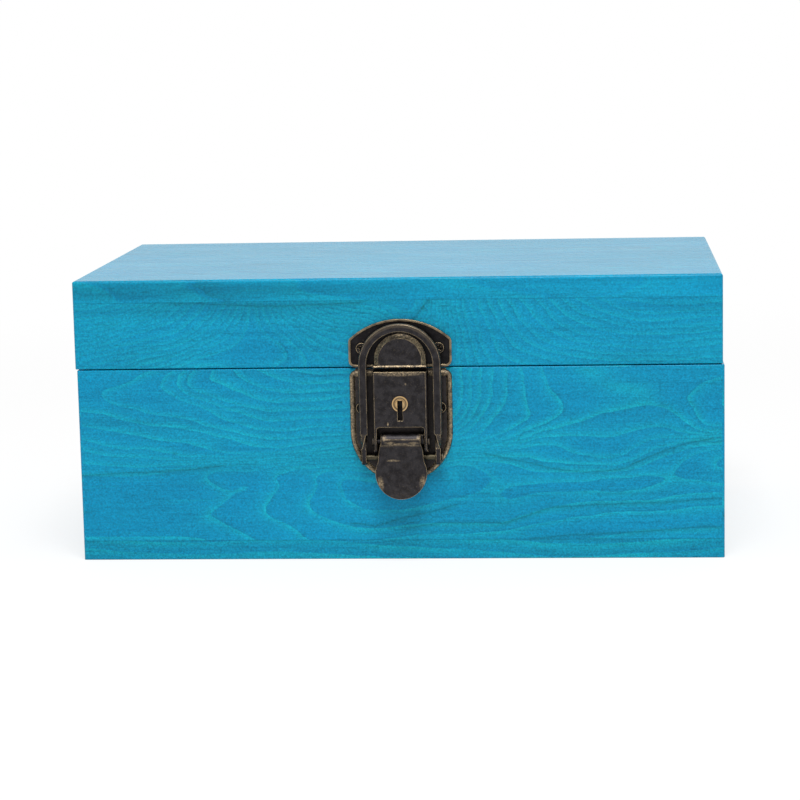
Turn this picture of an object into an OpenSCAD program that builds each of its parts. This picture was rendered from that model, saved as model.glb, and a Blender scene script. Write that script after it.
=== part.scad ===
// Small wooden chest with a hinged lid and a keyed toggle latch.
// X runs to the right, Y to the back and Z up. The origin is the centre of the underside.
// The chest is drawn shut, with its latch down and unlocked.

/* [Chest] */
// Width of the chest, left to right
box_w = 250; // [220:1:300]
// Depth of the chest, front to back
box_d = 150; // [120:1:200]
// Height of the base, bottom board included
base_h = 75.2; // [72:0.2:100]
// Height of the lid, top board included
lid_h = 34.4; // [30:0.2:60]
// Open seam between the base and the shut lid
seam_gap = 0.4; // [0.2:0.05:0.6]
// Thickness of the walls of the base and the lid
wall_t = 8; // [7:0.5:12]
// Thickness of the bottom board
bottom_t = 7.6; // [5:0.2:12]
// Thickness of the top board
top_t = 8.6; // [5:0.2:12]
// How far the side walls are let into the front and back boards
corner_lap = 4; // [2:0.5:5]
// Radius of the eased outer corners and edges
edge_r = 1.2; // [0.5:0.1:2.5]
// Radius of the eased edges along the seam
rim_r = 0.5; // [0.2:0.1:0.8]
// How far the lid sits to the right of the base
lid_shift = -0.6; // [-1:0.1:1]

/* [Latch plates] */
// Centre of the latch, right of the chest's middle
latch_x = 1.2; // [-20:0.2:20]
// Width of the catch plate on the lid
catch_w = 39.6; // [38:0.1:45]
// Height of the catch plate's foot above the lid's lower edge
catch_lift = 0.15; // [0.1:0.05:2]
// Height of the catch plate at its middle
catch_h = 18.4; // [17.6:0.1:20]
// Radius of the catch plate's arched top
catch_arch_r = 29; // [26:0.5:40]
// Width of the catch plate's raised rim
catch_rim_w = 0.8; // [0.5:0.1:1.4]
// Thickness of both plates
plate_t = 0.8; // [0.6:0.1:1]
// How far the rim and the lip stand up from the plates
rim_rise = 0.45; // [0.2:0.05:0.5]
// Radius of the dome pressed into the catch plate
dome_r = 9.95; // [9:0.05:10.6]
// Height of the middle of the dome's arch above the plate's foot
dome_arch_z = 2.9; // [2:0.1:3.2]
// How far the dome's face stands out of the wood
dome_out = 4; // [3:0.1:4.2]
// Width of the dome's worn bevel
dome_bevel = 1.6; // [0.8:0.1:2]
// Width of the ridge along the dome's foot
ridge_w = 0.8; // [0.5:0.1:1.2]
// How far the ridge stands out of the dome's face
ridge_rise = 0.4; // [0.2:0.1:0.4]
// Width of the lock plate on the base
lock_plate_w = 39.5; // [38:0.1:44]
// Drop from the base's rim to the lock plate's top
lock_plate_drop = 1; // [0.8:0.1:3]
// Length of the lock plate
lock_plate_h = 43.5; // [43:0.1:50]
// Width of the lock plate's raised lip
lock_lip_w = 2.2; // [1.8:0.1:2.4]
// Drop from the base's rim to the top of the thin tab above the lock plate
lock_tab_drop = 0.2; // [0.1:0.05:0.5]
// Radius of the corners of both plates
plate_corner_r = 2.4; // [2.4:0.1:3]

/* [Lock] */
// Width of the lock housing
housing_w = 20.8; // [20:0.1:21.5]
// Drop from the base's rim to the housing's top
housing_drop = 0.8; // [0.7:0.1:2]
// Height of the housing's face
housing_h = 21.4; // [19:0.1:22]
// How far the housing's face stands out of the wood
housing_out = 6.5; // [6.3:0.1:7]
// Wall of the lock housing
housing_wall = 1.2; // [1:0.1:1.4]
// Bevel of the housing's front edges
housing_bevel = 0.5; // [0.3:0.1:1]
// Drop from the housing's top to the centre of the keyhole
key_drop = 12.3; // [11.5:0.1:13]
// Width of the key slot
key_slot_w = 2; // [1.6:0.1:2.2]
// Length of the key slot below the keyhole's centre
key_slot_down = 6.6; // [5:0.1:7]
// Length of the key slot above the keyhole's centre
key_slot_up = 1.3; // [0.5:0.1:1.4]
// Radius of the key bush's flange
bush_flange_r = 3.05; // [2.9:0.05:3.4]
// Radius of the key bush's body in the housing's face
bush_r = 2.5; // [2.4:0.05:2.8]
// How far the bush's flange stands out of the housing's face
bush_out = 0.4; // [0.2:0.1:0.8]
// Thickness of the sliding lock bolt
bolt_t = 1; // [0.8:0.1:1.2]
// Travel of the lock bolt
bolt_travel = 2; // [1.6:0.1:2.2]

/* [Lever and bail] */
// Drop from the housing's top to the lever's pivot
pivot_drop = 27.2; // [27:0.1:28.5]
// Distance of the lever's pivot from the wood
pivot_out = 4.6; // [4.5:0.05:4.8]
// Radius of the lever's pin
lever_pin_r = 1; // [0.8:0.05:1.1]
// Outer radius of the lever's rolled hub
hub_r = 3.1; // [2.8:0.05:3.2]
// Width of the lever's hub
hub_w = 15.2; // [14.6:0.1:15.6]
// Width of the lever's neck
neck_w = 16.8; // [16.4:0.1:17.2]
// Radius of the lever's round paddle
paddle_r = 9.9; // [9.2:0.1:10.5]
// Drop from the pivot to the lever's lower end
lever_drop = 21.9; // [20:0.1:26]
// Thickness of the lever's sheet
lever_t = 1.3; // [1:0.1:1.5]
// How far the paddle's end curls out from the neck
paddle_curl = 2; // [1:0.1:3]
// Drop from the pivot to the bail's pin
bail_pin_drop = 6.3; // [6.2:0.1:6.8]
// Distance of the bail's pin from the wood
bail_pin_out = 3.9; // [3.8:0.05:4.2]
// Radius of the bail's pin
bail_pin_r = 1.1; // [0.9:0.05:1.15]
// Outer width of the bail
bail_w = 31.8; // [31:0.1:32.5]
// Width of the bail's flat band
bail_band = 3.2; // [2.6:0.1:3.3]
// Thickness of the bail
bail_t = 1.5; // [1.2:0.1:1.8]
// Height of the bail's top above its pin
bail_rise = 52; // [51.5:0.1:52.8]
// Gap between the catch's dome and the back of the bail
bail_gap = 0.4; // [0.3:0.05:0.6]
// Bevel along the bail's outer edge
bail_bevel = 0.4; // [0.2:0.1:0.9]
// Thickness of the bail's ears and width of their necks
ear_t = 1.8; // [1.4:0.1:2]
// Radius of the bail's ears
ear_r = 2.2; // [2:0.05:2.3]

/* [Hinges] */
// Distance of each hinge's middle from the end of the chest
hinge_inset = 50; // [34:1:75]
// Length of a hinge along its pin
hinge_w = 26; // [20:1:36]
// Height of one hinge leaf
leaf_h = 13; // [11:0.5:16]
// Thickness of a hinge leaf
leaf_t = 1; // [0.8:0.1:1.1]
// Radius of the hinge knuckles
knuckle_r = 1.7; // [1.6:0.05:1.8]
// Radius of a hinge pin
hinge_pin_r = 0.8; // [0.6:0.05:0.9]
// Number of knuckles of a hinge
knuckle_count = 5; // [3:2:7]

/* [Screws] */
// Radius of the heads of the catch plate's screws
catch_screw_head_r = 2.2; // [2:0.05:2.6]
// Radius of the heads of the lock plate's screws
lock_screw_head_r = 2.1; // [1.8:0.05:2.3]
// Radius of the heads of the hinge screws
hinge_screw_head_r = 2; // [1.8:0.05:2.4]
// Radius of the screws' shanks
shank_r = 1; // [0.8:0.05:1.2]
// Length of a screw under its head
screw_l = 6.5; // [5:0.1:6.8]
// Height of the heads of the plates' screws
plate_screw_head_h = 0.9; // [0.7:0.05:1.1]
// Height of the heads of the hinge screws
hinge_screw_head_h = 0.55; // [0.4:0.05:0.6]

/* [Fits] */
// Radial clearance of what turns on a pin
running_fit = 0.05; // [0.02:0.01:0.08]
// Radial clearance of what is driven or pressed in
pressed_fit = 0.02; // [0.01:0.01:0.05]
// Side clearance of what slides or swings past its neighbour
side_clearance = 0.25; // [0.2:0.05:0.3]

/* [Hidden] */
$fn = 64;

wood_blue = [0.10, 0.55, 0.70];
bronze = [0.22, 0.20, 0.18];
worn_bronze = [0.36, 0.31, 0.24];
brass = [0.72, 0.56, 0.30];
dark_steel = [0.30, 0.30, 0.31];

// Levels and faces of the chest
front_y = -box_d / 2;
back_y = box_d / 2;
rim_z = base_h;
lid_z = base_h + seam_gap;
chest_top = lid_z + lid_h;
top_board_z = chest_top - top_t;
cut_over = 1;

// Levels of the latch
catch_foot_z = lid_z + catch_lift;
catch_top_z = catch_foot_z + catch_h;
catch_arch_z = catch_top_z - catch_arch_r;
dome_z = catch_foot_z + dome_arch_z;
ridge_over = 0.3;
catch_shoulder_r = 1.8;
catch_screw_room = 2;
catch_screw_rise = 7.2;
catch_screw_x = catch_w / 2 - catch_rim_w - catch_screw_head_r - catch_screw_room;
catch_screw_z = catch_foot_z + catch_screw_rise;
lock_top_z = rim_z - lock_plate_drop;
lock_foot_r = lock_plate_w / 2;
lock_foot_z = lock_top_z - lock_plate_h + lock_foot_r;
lock_screw_room = 0.1;
lock_screw_drop = 14.4;
lock_screw_x = lock_plate_w / 2 - lock_lip_w - lock_screw_head_r - lock_screw_room;
lock_screw_z = lock_top_z - lock_screw_drop;
lock_tab_t = 0.6;
housing_top_z = rim_z - housing_drop;
housing_bottom_z = housing_top_z - housing_h;
housing_in_w = housing_w - 2 * housing_wall;
mouth_corner_r = 1.2;
key_z = housing_top_z - key_drop;
bush_groove_r = 2.2;
bush_eye_r = 1.6;
bush_groove_depth = 0.3;
bush_grip = 0.4;
bolt_back = 2.2;
shoulder_rise = 0.4;

// Places of the two pivots of the latch
pivot_z = housing_top_z - pivot_drop;
pivot_y = front_y - pivot_out;
cheek_end_r = housing_out - pivot_out;
cheek_drop = 4.3;
cheek_bottom_z = pivot_z - cheek_drop;
bail_pin_z = pivot_z - bail_pin_drop;
bail_pin_y = front_y - bail_pin_out;
rivet_head_h = 0.5;
rivet_head_r = 1.5;

// The lever's curve, seen from the side: the hub bulges out in front of the sheet
hub_bulge = 0.3;
neck_out = pivot_out + hub_r - hub_bulge - shoulder_rise;
waist_z = bail_pin_z;
lever_low_z = pivot_z - lever_drop;
paddle_z = lever_low_z + paddle_r;
flange_r = bail_pin_r + 0.95;
flare_w = 17.8;
flare_z = waist_z - 1.5;
lever_steps = 12;
dog_t = (housing_in_w - hub_w) / 2 - side_clearance;
dog_boss_r = lever_pin_r + 0.8;
dog_reach = pivot_out - bolt_back - bolt_t - 0.2;

// The lock bolt
bolt_room = 2.4;
key_notch_w = 5.2;
key_notch_h = 5.4;
bolt_low_z = housing_bottom_z + bolt_travel + 1.1;
bolt_high_z = housing_top_z - housing_wall - bolt_room;
bolt_tip_z = pivot_z + hub_r + 0.4;
stud_r = 1;
stud_x = 5;
stud_z = bolt_high_z - 3.2;

// The bail
bail_r = bail_w / 2;
bail_back = dome_out + bail_gap;
bail_mid = bail_back + bail_t / 2;
bail_arch_z = bail_pin_z + bail_rise - bail_r;
leg_low_z = bail_pin_z + 9;
leg_corner_r = 0.7;
ear_top_z = bail_pin_z + 3.7;
ear_tail = 0.7;
ear_x = bail_r - bail_band / 2;

// The hinges
hinge_x = box_w / 2 - hinge_inset;
hinge_y = back_y + knuckle_r + 0.1;
hinge_z = rim_z + seam_gap / 2;
knuckle_l = hinge_w / knuckle_count;
knuckle_gap = 0.2;
leaf_screw_x = hinge_w / 2 - 5;
leaf_screw_drop = leaf_h - 4.5;

// ---- helpers ----

// A flat rectangle from one corner to the other; r rounds its corners, counted
// from the low corner: low x low y, high x low y, high x high y, low x high y.
module soft_rect(lo, hi, r = [0, 0, 0, 0]) {
    corners = [lo, [hi.x, lo.y], hi, [lo.x, hi.y]];
    inward = [[1, 1], [-1, 1], [-1, -1], [1, -1]];
    difference() {
        translate(lo) square(hi - lo);
        for (i = [0:3])
            if (r[i] > 0) corner_bite(corners[i], inward[i], r[i]);
    }
}

// What rounding takes off one corner of a rectangle
module corner_bite(corner, inward, r) {
    difference() {
        translate(corner + inward * r / 2 - inward * cut_over / 2)
            square(r + cut_over, center = true);
        translate(corner + inward * r) circle(r);
    }
}

// A board between two corners, with eased edges: plan holds the corner radii
// seen from above, face those seen from the front, end those seen from the right.
module board(lo, hi, plan = [0, 0, 0, 0], face = [0, 0, 0, 0], end = [0, 0, 0, 0]) {
    intersection() {
        translate([0, 0, lo.z])
            linear_extrude(hi.z - lo.z)
                soft_rect([lo.x, lo.y], [hi.x, hi.y], plan);
        translate([0, hi.y, 0]) rotate([90, 0, 0])
            linear_extrude(hi.y - lo.y)
                soft_rect([lo.x, lo.z], [hi.x, hi.z], face);
        translate([lo.x, 0, 0]) rotate([90, 0, 90])
            linear_extrude(hi.x - lo.x)
                soft_rect([lo.y, lo.z], [hi.y, hi.z], end);
    }
}

// Stands a flat drawing of x and height up on the front of the chest, at the
// distance out from the wood, growing towards the viewer
module on_front(out = 0) {
    translate([latch_x, front_y - out, 0]) rotate([90, 0, 0]) children();
}

// The same on the back of the chest, growing backwards
module on_back(x, z, out = 0) {
    translate([x, back_y + out, z]) rotate([-90, 0, 0]) children();
}

// A drawing of distance from the wood and height, made thick across the latch
module across_latch(x_low, x_high) {
    translate([latch_x + x_low, front_y, 0])
        rotate([90, 0, 90])
            linear_extrude(x_high - x_low)
                mirror([1, 0]) children();
}

// A pin across the latch
module cross_pin(y, z, r, length) {
    translate([latch_x, y, z]) rotate([0, 90, 0]) cylinder(h = length, r = r, center = true);
}

// A screw with a low domed head and a cross recess; its head sits on z = 0
module wood_screw(head_r, head_h) {
    dome_ball_r = (head_r * head_r + head_h * head_h) / (2 * head_h);
    recess_w = head_r * 0.28;
    difference() {
        union() {
            intersection() {
                cylinder(h = head_h, r = head_r);
                translate([0, 0, head_h - dome_ball_r]) sphere(dome_ball_r);
            }
            translate([0, 0, -screw_l]) cylinder(h = screw_l + head_h / 4, r = shank_r);
        }
        for (turn = [0, 90])
            rotate(turn)
                translate([-head_r * 0.62, -recess_w / 2, head_h * 0.45])
                    cube([head_r * 1.24, recess_w, head_h]);
    }
}

// A screw hole along z, long enough for both the plate and the wood
module screw_hole() {
    translate([0, 0, -screw_l - 0.2])
        cylinder(h = screw_l + 3, r = shank_r + pressed_fit);
}

module at_catch_screws() {
    for (side = [-1, 1])
        on_front(plate_t) translate([side * catch_screw_x, catch_screw_z, 0]) children();
}

module at_lock_screws() {
    for (side = [-1, 1])
        on_front(plate_t) translate([side * lock_screw_x, lock_screw_z, 0]) children();
}

// The four screw places of the leaves on the base (up = -1) or on the lid (up = 1)
module at_hinge_screws(up) {
    for (hinge = [-1, 1], side = [-1, 1])
        on_back(hinge * hinge_x + side * leaf_screw_x, hinge_z + up * leaf_screw_drop, leaf_t)
            children();
}

// ---- the base ----

module base_front_board() {
    color(wood_blue)
    difference() {
        board([-box_w / 2, front_y, bottom_t], [box_w / 2, front_y + wall_t, rim_z],
            plan = [edge_r, edge_r, 0, 0],
            face = [0, 0, rim_r, rim_r],
            end = [0, 0, 0, rim_r]);
        for (side = [-1, 1]) corner_rabbet(side, front_y + wall_t - corner_lap / 2, bottom_t, rim_z);
        at_lock_screws() screw_hole();
    }
}

module base_back_board() {
    color(wood_blue)
    difference() {
        board([-box_w / 2, back_y - wall_t, bottom_t], [box_w / 2, back_y, rim_z],
            plan = [0, 0, edge_r, edge_r],
            face = [0, 0, rim_r, rim_r],
            end = [0, 0, rim_r, 0]);
        for (side = [-1, 1]) corner_rabbet(side, back_y - wall_t + corner_lap / 2, bottom_t, rim_z);
        at_hinge_screws(-1) screw_hole();
    }
}

// The step that a front or back board has for the end of a side wall
module corner_rabbet(side, y, z_low, z_high) {
    translate([side * (box_w / 2 - wall_t / 2 + cut_over / 2), y, (z_low + z_high) / 2])
        cube([wall_t + cut_over, corner_lap, z_high - z_low + 2 * cut_over], center = true);
}

// A side wall between the rabbets; side is -1 on the left and 1 on the right
module side_wall(side, z_low, z_high, face) {
    x_out = side * box_w / 2;
    x_in = side * (box_w / 2 - wall_t);
    y_end = box_d / 2 - wall_t + corner_lap;
    board([min(x_in, x_out), -y_end, z_low], [max(x_in, x_out), y_end, z_high], face = face);
}

module base_left_side() {
    color(wood_blue) side_wall(-1, bottom_t, rim_z, [0, 0, 0, rim_r]);
}

module base_right_side() {
    color(wood_blue) side_wall(1, bottom_t, rim_z, [0, 0, rim_r, 0]);
}

module bottom_board() {
    color(wood_blue)
    board([-box_w / 2, front_y, 0], [box_w / 2, back_y, bottom_t],
        plan = [edge_r, edge_r, edge_r, edge_r],
        face = [rim_r, rim_r, 0, 0],
        end = [rim_r, rim_r, 0, 0]);
}

// ---- the lid ----

module lid_top_board() {
    color(wood_blue)
    translate([lid_shift, 0, 0])
    board([-box_w / 2, front_y, top_board_z], [box_w / 2, back_y, chest_top],
        plan = [edge_r, edge_r, edge_r, edge_r],
        face = [0, 0, edge_r, edge_r],
        end = [0, 0, edge_r, edge_r]);
}

module lid_front_rail() {
    color(wood_blue)
    difference() {
        translate([lid_shift, 0, 0])
        difference() {
            board([-box_w / 2, front_y, lid_z], [box_w / 2, front_y + wall_t, top_board_z],
                plan = [edge_r, edge_r, 0, 0],
                face = [rim_r, rim_r, 0, 0],
                end = [rim_r, 0, 0, 0]);
            for (side = [-1, 1])
                corner_rabbet(side, front_y + wall_t - corner_lap / 2, lid_z, top_board_z);
        }
        at_catch_screws() screw_hole();
    }
}

module lid_back_rail() {
    color(wood_blue)
    difference() {
        translate([lid_shift, 0, 0])
        difference() {
            board([-box_w / 2, back_y - wall_t, lid_z], [box_w / 2, back_y, top_board_z],
                plan = [0, 0, edge_r, edge_r],
                face = [rim_r, rim_r, 0, 0],
                end = [0, rim_r, 0, 0]);
            for (side = [-1, 1])
                corner_rabbet(side, back_y - wall_t + corner_lap / 2, lid_z, top_board_z);
        }
        at_hinge_screws(1) screw_hole();
    }
}

module lid_left_rail() {
    color(wood_blue)
    translate([lid_shift, 0, 0]) side_wall(-1, lid_z, top_board_z, [rim_r, 0, 0, 0]);
}

module lid_right_rail() {
    color(wood_blue)
    translate([lid_shift, 0, 0]) side_wall(1, lid_z, top_board_z, [0, rim_r, 0, 0]);
}

// ---- the catch plate on the lid ----

// Outline of the catch plate, drawn in by inset
module catch_outline(inset) {
    half = catch_w / 2 - inset;
    r = max(plate_corner_r - inset, 0.3);
    difference() {
        intersection() {
            translate([0, catch_arch_z]) circle(catch_arch_r - inset, $fn = 128);
            soft_rect([-half, catch_foot_z + inset], [half, catch_top_z + cut_over], [r, r, 0, 0]);
        }
        for (side = [0, 1]) mirror([side, 0]) catch_shoulder_bite(catch_shoulder_r - inset);
    }
}

// What rounding takes off the corner between the arch and a side
module catch_shoulder_bite(r) {
    x = catch_w / 2 - catch_shoulder_r;
    rise = sqrt(pow(catch_arch_r - catch_shoulder_r, 2) - x * x);
    reach = catch_shoulder_r + cut_over;
    out = [x, rise] * reach / norm([x, rise]);
    translate([x, catch_arch_z + rise]) difference() {
        polygon([[0, 0], [reach, 0], [reach, reach], out]);
        circle(r);
    }
}

module catch_plate() {
    color(bronze)
    difference() {
        union() {
            on_front(0) linear_extrude(plate_t) catch_outline(0);
            on_front(0) linear_extrude(plate_t + rim_rise)
                difference() {
                    catch_outline(0);
                    catch_outline(catch_rim_w);
                }
            catch_dome();
        }
        at_catch_screws() screw_hole();
    }
}

// The dome: a half-round boss with a bevel, closed below by a straight ridge
module catch_dome() {
    wall_out = dome_out - dome_bevel;
    on_front(0) intersection() {
        translate([0, dome_z, 0]) union() {
            cylinder(h = wall_out, r = dome_r);
            translate([0, 0, wall_out])
                cylinder(h = dome_bevel, r1 = dome_r, r2 = dome_r - dome_bevel);
        }
        translate([-dome_r, dome_z, 0]) cube([2 * dome_r, dome_r, dome_out]);
    }
    translate([latch_x, front_y, catch_foot_z])
        linear_extrude(dome_z - catch_foot_z)
            polygon([
                [-dome_r, 0], [dome_r, 0], [dome_r, -wall_out],
                [dome_r - dome_bevel, -dome_out], [dome_bevel - dome_r, -dome_out],
                [-dome_r, -wall_out]
            ]);
    across_latch(-dome_r - ridge_over, dome_r + ridge_over)
        polygon([
            [0, catch_foot_z], [dome_out + ridge_rise, catch_foot_z],
            [dome_out + ridge_rise, catch_foot_z + ridge_w / 2],
            [dome_out, catch_foot_z + ridge_w], [0, catch_foot_z + ridge_w]
        ]);
}

module catch_plate_screws() {
    color(worn_bronze) at_catch_screws() wood_screw(catch_screw_head_r, plate_screw_head_h);
}

// ---- the lock on the base ----

// Outline of the lock plate, drawn in by inset
module lock_outline(inset) {
    half = lock_plate_w / 2 - inset;
    r = max(plate_corner_r - inset, 0.3);
    translate([0, lock_foot_z]) circle(half, $fn = 128);
    soft_rect([-half, lock_foot_z], [half, lock_top_z - inset], [0, 0, r, r]);
}

// The lip's section: share of its width from the edge, and share of its height
lip_shape = [[0, 0], [0, 0.45], [0.14, 0.78], [0.4, 1], [0.62, 1], [0.86, 0.82], [1, 0.58], [1, 0]];

// The section with its outer edge at a place, going inwards by the sign of dir
module lip_section(edge, dir) {
    polygon([for (p = lip_shape)
        [edge + dir * p.x * lock_lip_w, p.y * (plate_t + rim_rise)]]);
}

// The raised lip round the lock plate, open above the housing
module lock_lip() {
    corner_z = lock_top_z - plate_corner_r;
    run = lock_foot_r - plate_corner_r - housing_w / 2 - side_clearance;
    translate([0, lock_foot_z, 0]) rotate(180)
        rotate_extrude(angle = 180, $fn = 128) lip_section(lock_foot_r, -1);
    for (side = [0, 1])
        mirror([side, 0, 0]) {
            translate([0, corner_z, 0]) rotate([90, 0, 0])
                linear_extrude(corner_z - lock_foot_z) lip_section(lock_foot_r, -1);
            translate([lock_foot_r - plate_corner_r, corner_z, 0])
                rotate_extrude(angle = 90) lip_section(plate_corner_r, -1);
            translate([lock_foot_r - plate_corner_r - run, lock_top_z, 0]) rotate([90, 0, 90])
                linear_extrude(run) lip_section(0, -1);
        }
}

module lock_plate() {
    tab_half = lock_foot_r - lock_lip_w;
    color(bronze)
    difference() {
        union() {
            on_front(0) linear_extrude(plate_t) lock_outline(lock_lip_w / 2);
            on_front(0) lock_lip();
            on_front(0) linear_extrude(lock_tab_t)
                soft_rect([-tab_half, lock_top_z - lock_lip_w], [tab_half, rim_z - lock_tab_drop],
                    [0, 0, rim_r, rim_r]);
            // studs that guide the bolt
            on_front(0)
                for (side = [-1, 1])
                    translate([side * stud_x, stud_z, 0])
                        cylinder(h = bolt_back + bolt_t + 0.6, r = stud_r);
        }
        at_lock_screws() screw_hole();
    }
}

module lock_plate_screws() {
    color(worn_bronze) at_lock_screws() wood_screw(lock_screw_head_r, plate_screw_head_h);
}

// The pressed housing: a box that is open behind, with two cheeks below its face
module lock_housing() {
    half = housing_w / 2;
    in_half = housing_in_w / 2;
    mouth_z = housing_bottom_z - mouth_corner_r;
    color(bronze)
    difference() {
        union() {
            intersection() {
                union() {
                    on_front(plate_t)
                        linear_extrude(housing_out - plate_t)
                            translate([-half, housing_bottom_z]) square([housing_w, housing_h]);
                    // the mouth's rounded upper corners
                    on_front(housing_out - housing_wall)
                        linear_extrude(housing_wall)
                            difference() {
                                translate([-half, mouth_z]) square([housing_w, 2 * mouth_corner_r]);
                                soft_rect([-in_half, mouth_z - cut_over], [in_half, housing_bottom_z],
                                    [0, 0, mouth_corner_r, mouth_corner_r]);
                            }
                }
                housing_bevels();
            }
            for (side = [-1, 1]) {
                low = side < 0 ? -half : in_half;
                intersection() {
                    across_latch(low, low + housing_wall) cheek_side();
                    housing_bevels();
                }
            }
        }
        on_front(plate_t)
            linear_extrude(housing_out - housing_wall - plate_t)
                translate([-in_half, housing_bottom_z - cut_over])
                    square([housing_in_w, housing_h - housing_wall + cut_over]);
        on_front(0) translate([0, key_z, 0]) cylinder(h = housing_out + 1, r = bush_r + pressed_fit);
        on_front(plate_t + cut_over) linear_extrude(housing_out) key_slot();
        cross_pin(pivot_y, pivot_z, lever_pin_r + pressed_fit, housing_w + 2);
    }
}

// What is left of the housing's front edges once they are bevelled
module housing_bevels() {
    half = housing_w / 2;
    b = housing_bevel;
    translate([latch_x, front_y, 0])
        linear_extrude(housing_top_z)
            polygon([
                [-half, 0], [half, 0], [half, b - housing_out],
                [half - b, -housing_out], [b - half, -housing_out], [-half, b - housing_out]
            ]);
}

// One cheek seen from the side, with a round front corner at its foot
module cheek_side() {
    soft_rect([plate_t, cheek_bottom_z], [housing_out, housing_bottom_z + cut_over],
        [0, cheek_end_r, 0, 0]);
}

module key_slot() {
    translate([-key_slot_w / 2, key_z - key_slot_down])
        square([key_slot_w, key_slot_down + key_slot_up]);
}

module key_bush() {
    body_back = housing_out - housing_wall - bush_grip;
    color(brass)
    difference() {
        on_front(0) translate([0, key_z, 0]) {
            translate([0, 0, body_back]) cylinder(h = housing_out - body_back, r = bush_r);
            translate([0, 0, housing_out]) cylinder(h = bush_out, r = bush_flange_r);
        }
        on_front(housing_out + bush_out - bush_groove_depth)
            translate([0, key_z, 0]) difference() {
                cylinder(h = bush_groove_depth + 1, r = bush_groove_r);
                cylinder(h = bush_groove_depth + 1, r = bush_eye_r);
            }
        on_front(0) linear_extrude(housing_out + bush_out + 1) key_slot();
    }
}

// The bolt: a sliding plate with two guide slots, a notch for the key's bit and
// a tongue that comes down behind the lever's dog
module lock_bolt() {
    half = housing_in_w / 2 - side_clearance;
    slot_half = stud_r + side_clearance;
    color(dark_steel)
    on_front(bolt_back) linear_extrude(bolt_t)
        difference() {
            union() {
                translate([-half, bolt_low_z]) square([2 * half, bolt_high_z - bolt_low_z]);
                translate([hub_w / 2 + side_clearance, bolt_tip_z])
                    square([half - hub_w / 2 - side_clearance, bolt_low_z - bolt_tip_z + 1]);
            }
            for (side = [-1, 1])
                soft_rect([side * stud_x - slot_half, stud_z - slot_half],
                    [side * stud_x + slot_half, stud_z + slot_half + bolt_travel],
                    [1, 1, 1, 1] * (slot_half - 0.01));
            translate([-key_notch_w / 2, bolt_low_z - cut_over])
                square([key_notch_w, key_notch_h]);
        }
}

// ---- the lever ----

module lever_pin() {
    color(worn_bronze) {
        cross_pin(pivot_y, pivot_z, lever_pin_r, housing_w + rivet_head_h);
        for (side = [-1, 1])
            translate([side * (housing_w / 2 + rivet_head_h / 2), 0, 0])
                cross_pin(pivot_y, pivot_z, rivet_head_r, rivet_head_h);
    }
}

// Distance of the lever's front from the wood at a height: shallow at the neck,
// curling out towards the hub and towards the paddle's end
function lever_out(z) =
    z > waist_z
        ? neck_out + shoulder_rise * pow((z - waist_z) / (pivot_z - waist_z), 2)
        : neck_out + paddle_curl * pow((waist_z - z) / (waist_z - lever_low_z), 2);

module lever() {
    color(bronze)
    difference() {
        union() {
            intersection() {
                across_latch(-paddle_r - 1, paddle_r + 1) lever_side(0, lever_t + 1.6);
                on_front(0) linear_extrude(housing_out + 8) lever_outline(0);
            }
            cross_pin(pivot_y, pivot_z, hub_r, hub_w);
            lever_flanges();
            lever_dog();
        }
        // the hollow behind the sheet
        intersection() {
            across_latch(-paddle_r, paddle_r) lever_side(lever_t, 6);
            on_front(0) linear_extrude(housing_out + 8)
                difference() {
                    lever_outline(lever_t);
                    translate([-paddle_r, pivot_z - hub_r - 0.6]) square([2 * paddle_r, 20]);
                }
        }
        cross_pin(pivot_y, pivot_z, lever_pin_r + running_fit, housing_w);
        cross_pin(bail_pin_y, bail_pin_z, bail_pin_r + pressed_fit, housing_w);
    }
}

// The lever's sheet seen from the side, between two depths under its front
module lever_side(depth_a, depth_b) {
    heights = [for (i = [0:lever_steps]) lever_low_z + (pivot_z - lever_low_z) * i / lever_steps];
    polygon(concat(
        [for (z = heights) [lever_out(z) - depth_a, z]],
        [for (i = [lever_steps:-1:0]) [lever_out(heights[i]) - depth_b, heights[i]]]
    ));
}

// The lever seen from the front, drawn in by inset
module lever_outline(inset) {
    half = neck_w / 2 - inset;
    top_half = hub_w / 2 - inset;
    shoulder_z = pivot_z - hub_r;
    translate([0, paddle_z]) circle(paddle_r - inset, $fn = 96);
    flare_half = flare_w / 2 - inset;
    polygon([
        [-half, paddle_z], [half, paddle_z], [flare_half, flare_z], [half, shoulder_z],
        [top_half, pivot_z], [-top_half, pivot_z], [-half, shoulder_z], [-flare_half, flare_z]
    ]);
}

// The two flanges folded back from the neck to hold the bail's pin
module lever_flanges() {
    half = neck_w / 2;
    for (side = [-1, 1]) {
        low = side < 0 ? -half : half - lever_t;
        across_latch(low, low + lever_t) {
            translate([bail_pin_out, bail_pin_z]) circle(flange_r);
            translate([bail_pin_out, bail_pin_z - flange_r])
                square([neck_out - lever_t / 2 - bail_pin_out, 2 * flange_r]);
        }
    }
}

// The dog on the hub's right end, which meets the bolt's tongue when locked
module lever_dog() {
    across_latch(hub_w / 2 - 0.5, hub_w / 2 + dog_t) {
        translate([pivot_out, pivot_z]) circle(dog_boss_r);
        intersection() {
            translate([pivot_out, pivot_z]) circle(hub_r - 0.2);
            translate([pivot_out - dog_reach, pivot_z]) square([dog_reach + 1, hub_r]);
        }
    }
}

// ---- the bail ----

module bail_pin() {
    length = 2 * (ear_x + ear_t / 2 + side_clearance);
    color(worn_bronze) {
        cross_pin(bail_pin_y, bail_pin_z, bail_pin_r, length + rivet_head_h);
        for (side = [-1, 1])
            translate([side * (length + rivet_head_h) / 2, 0, 0])
                cross_pin(bail_pin_y, bail_pin_z, rivet_head_r, rivet_head_h);
    }
}

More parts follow.
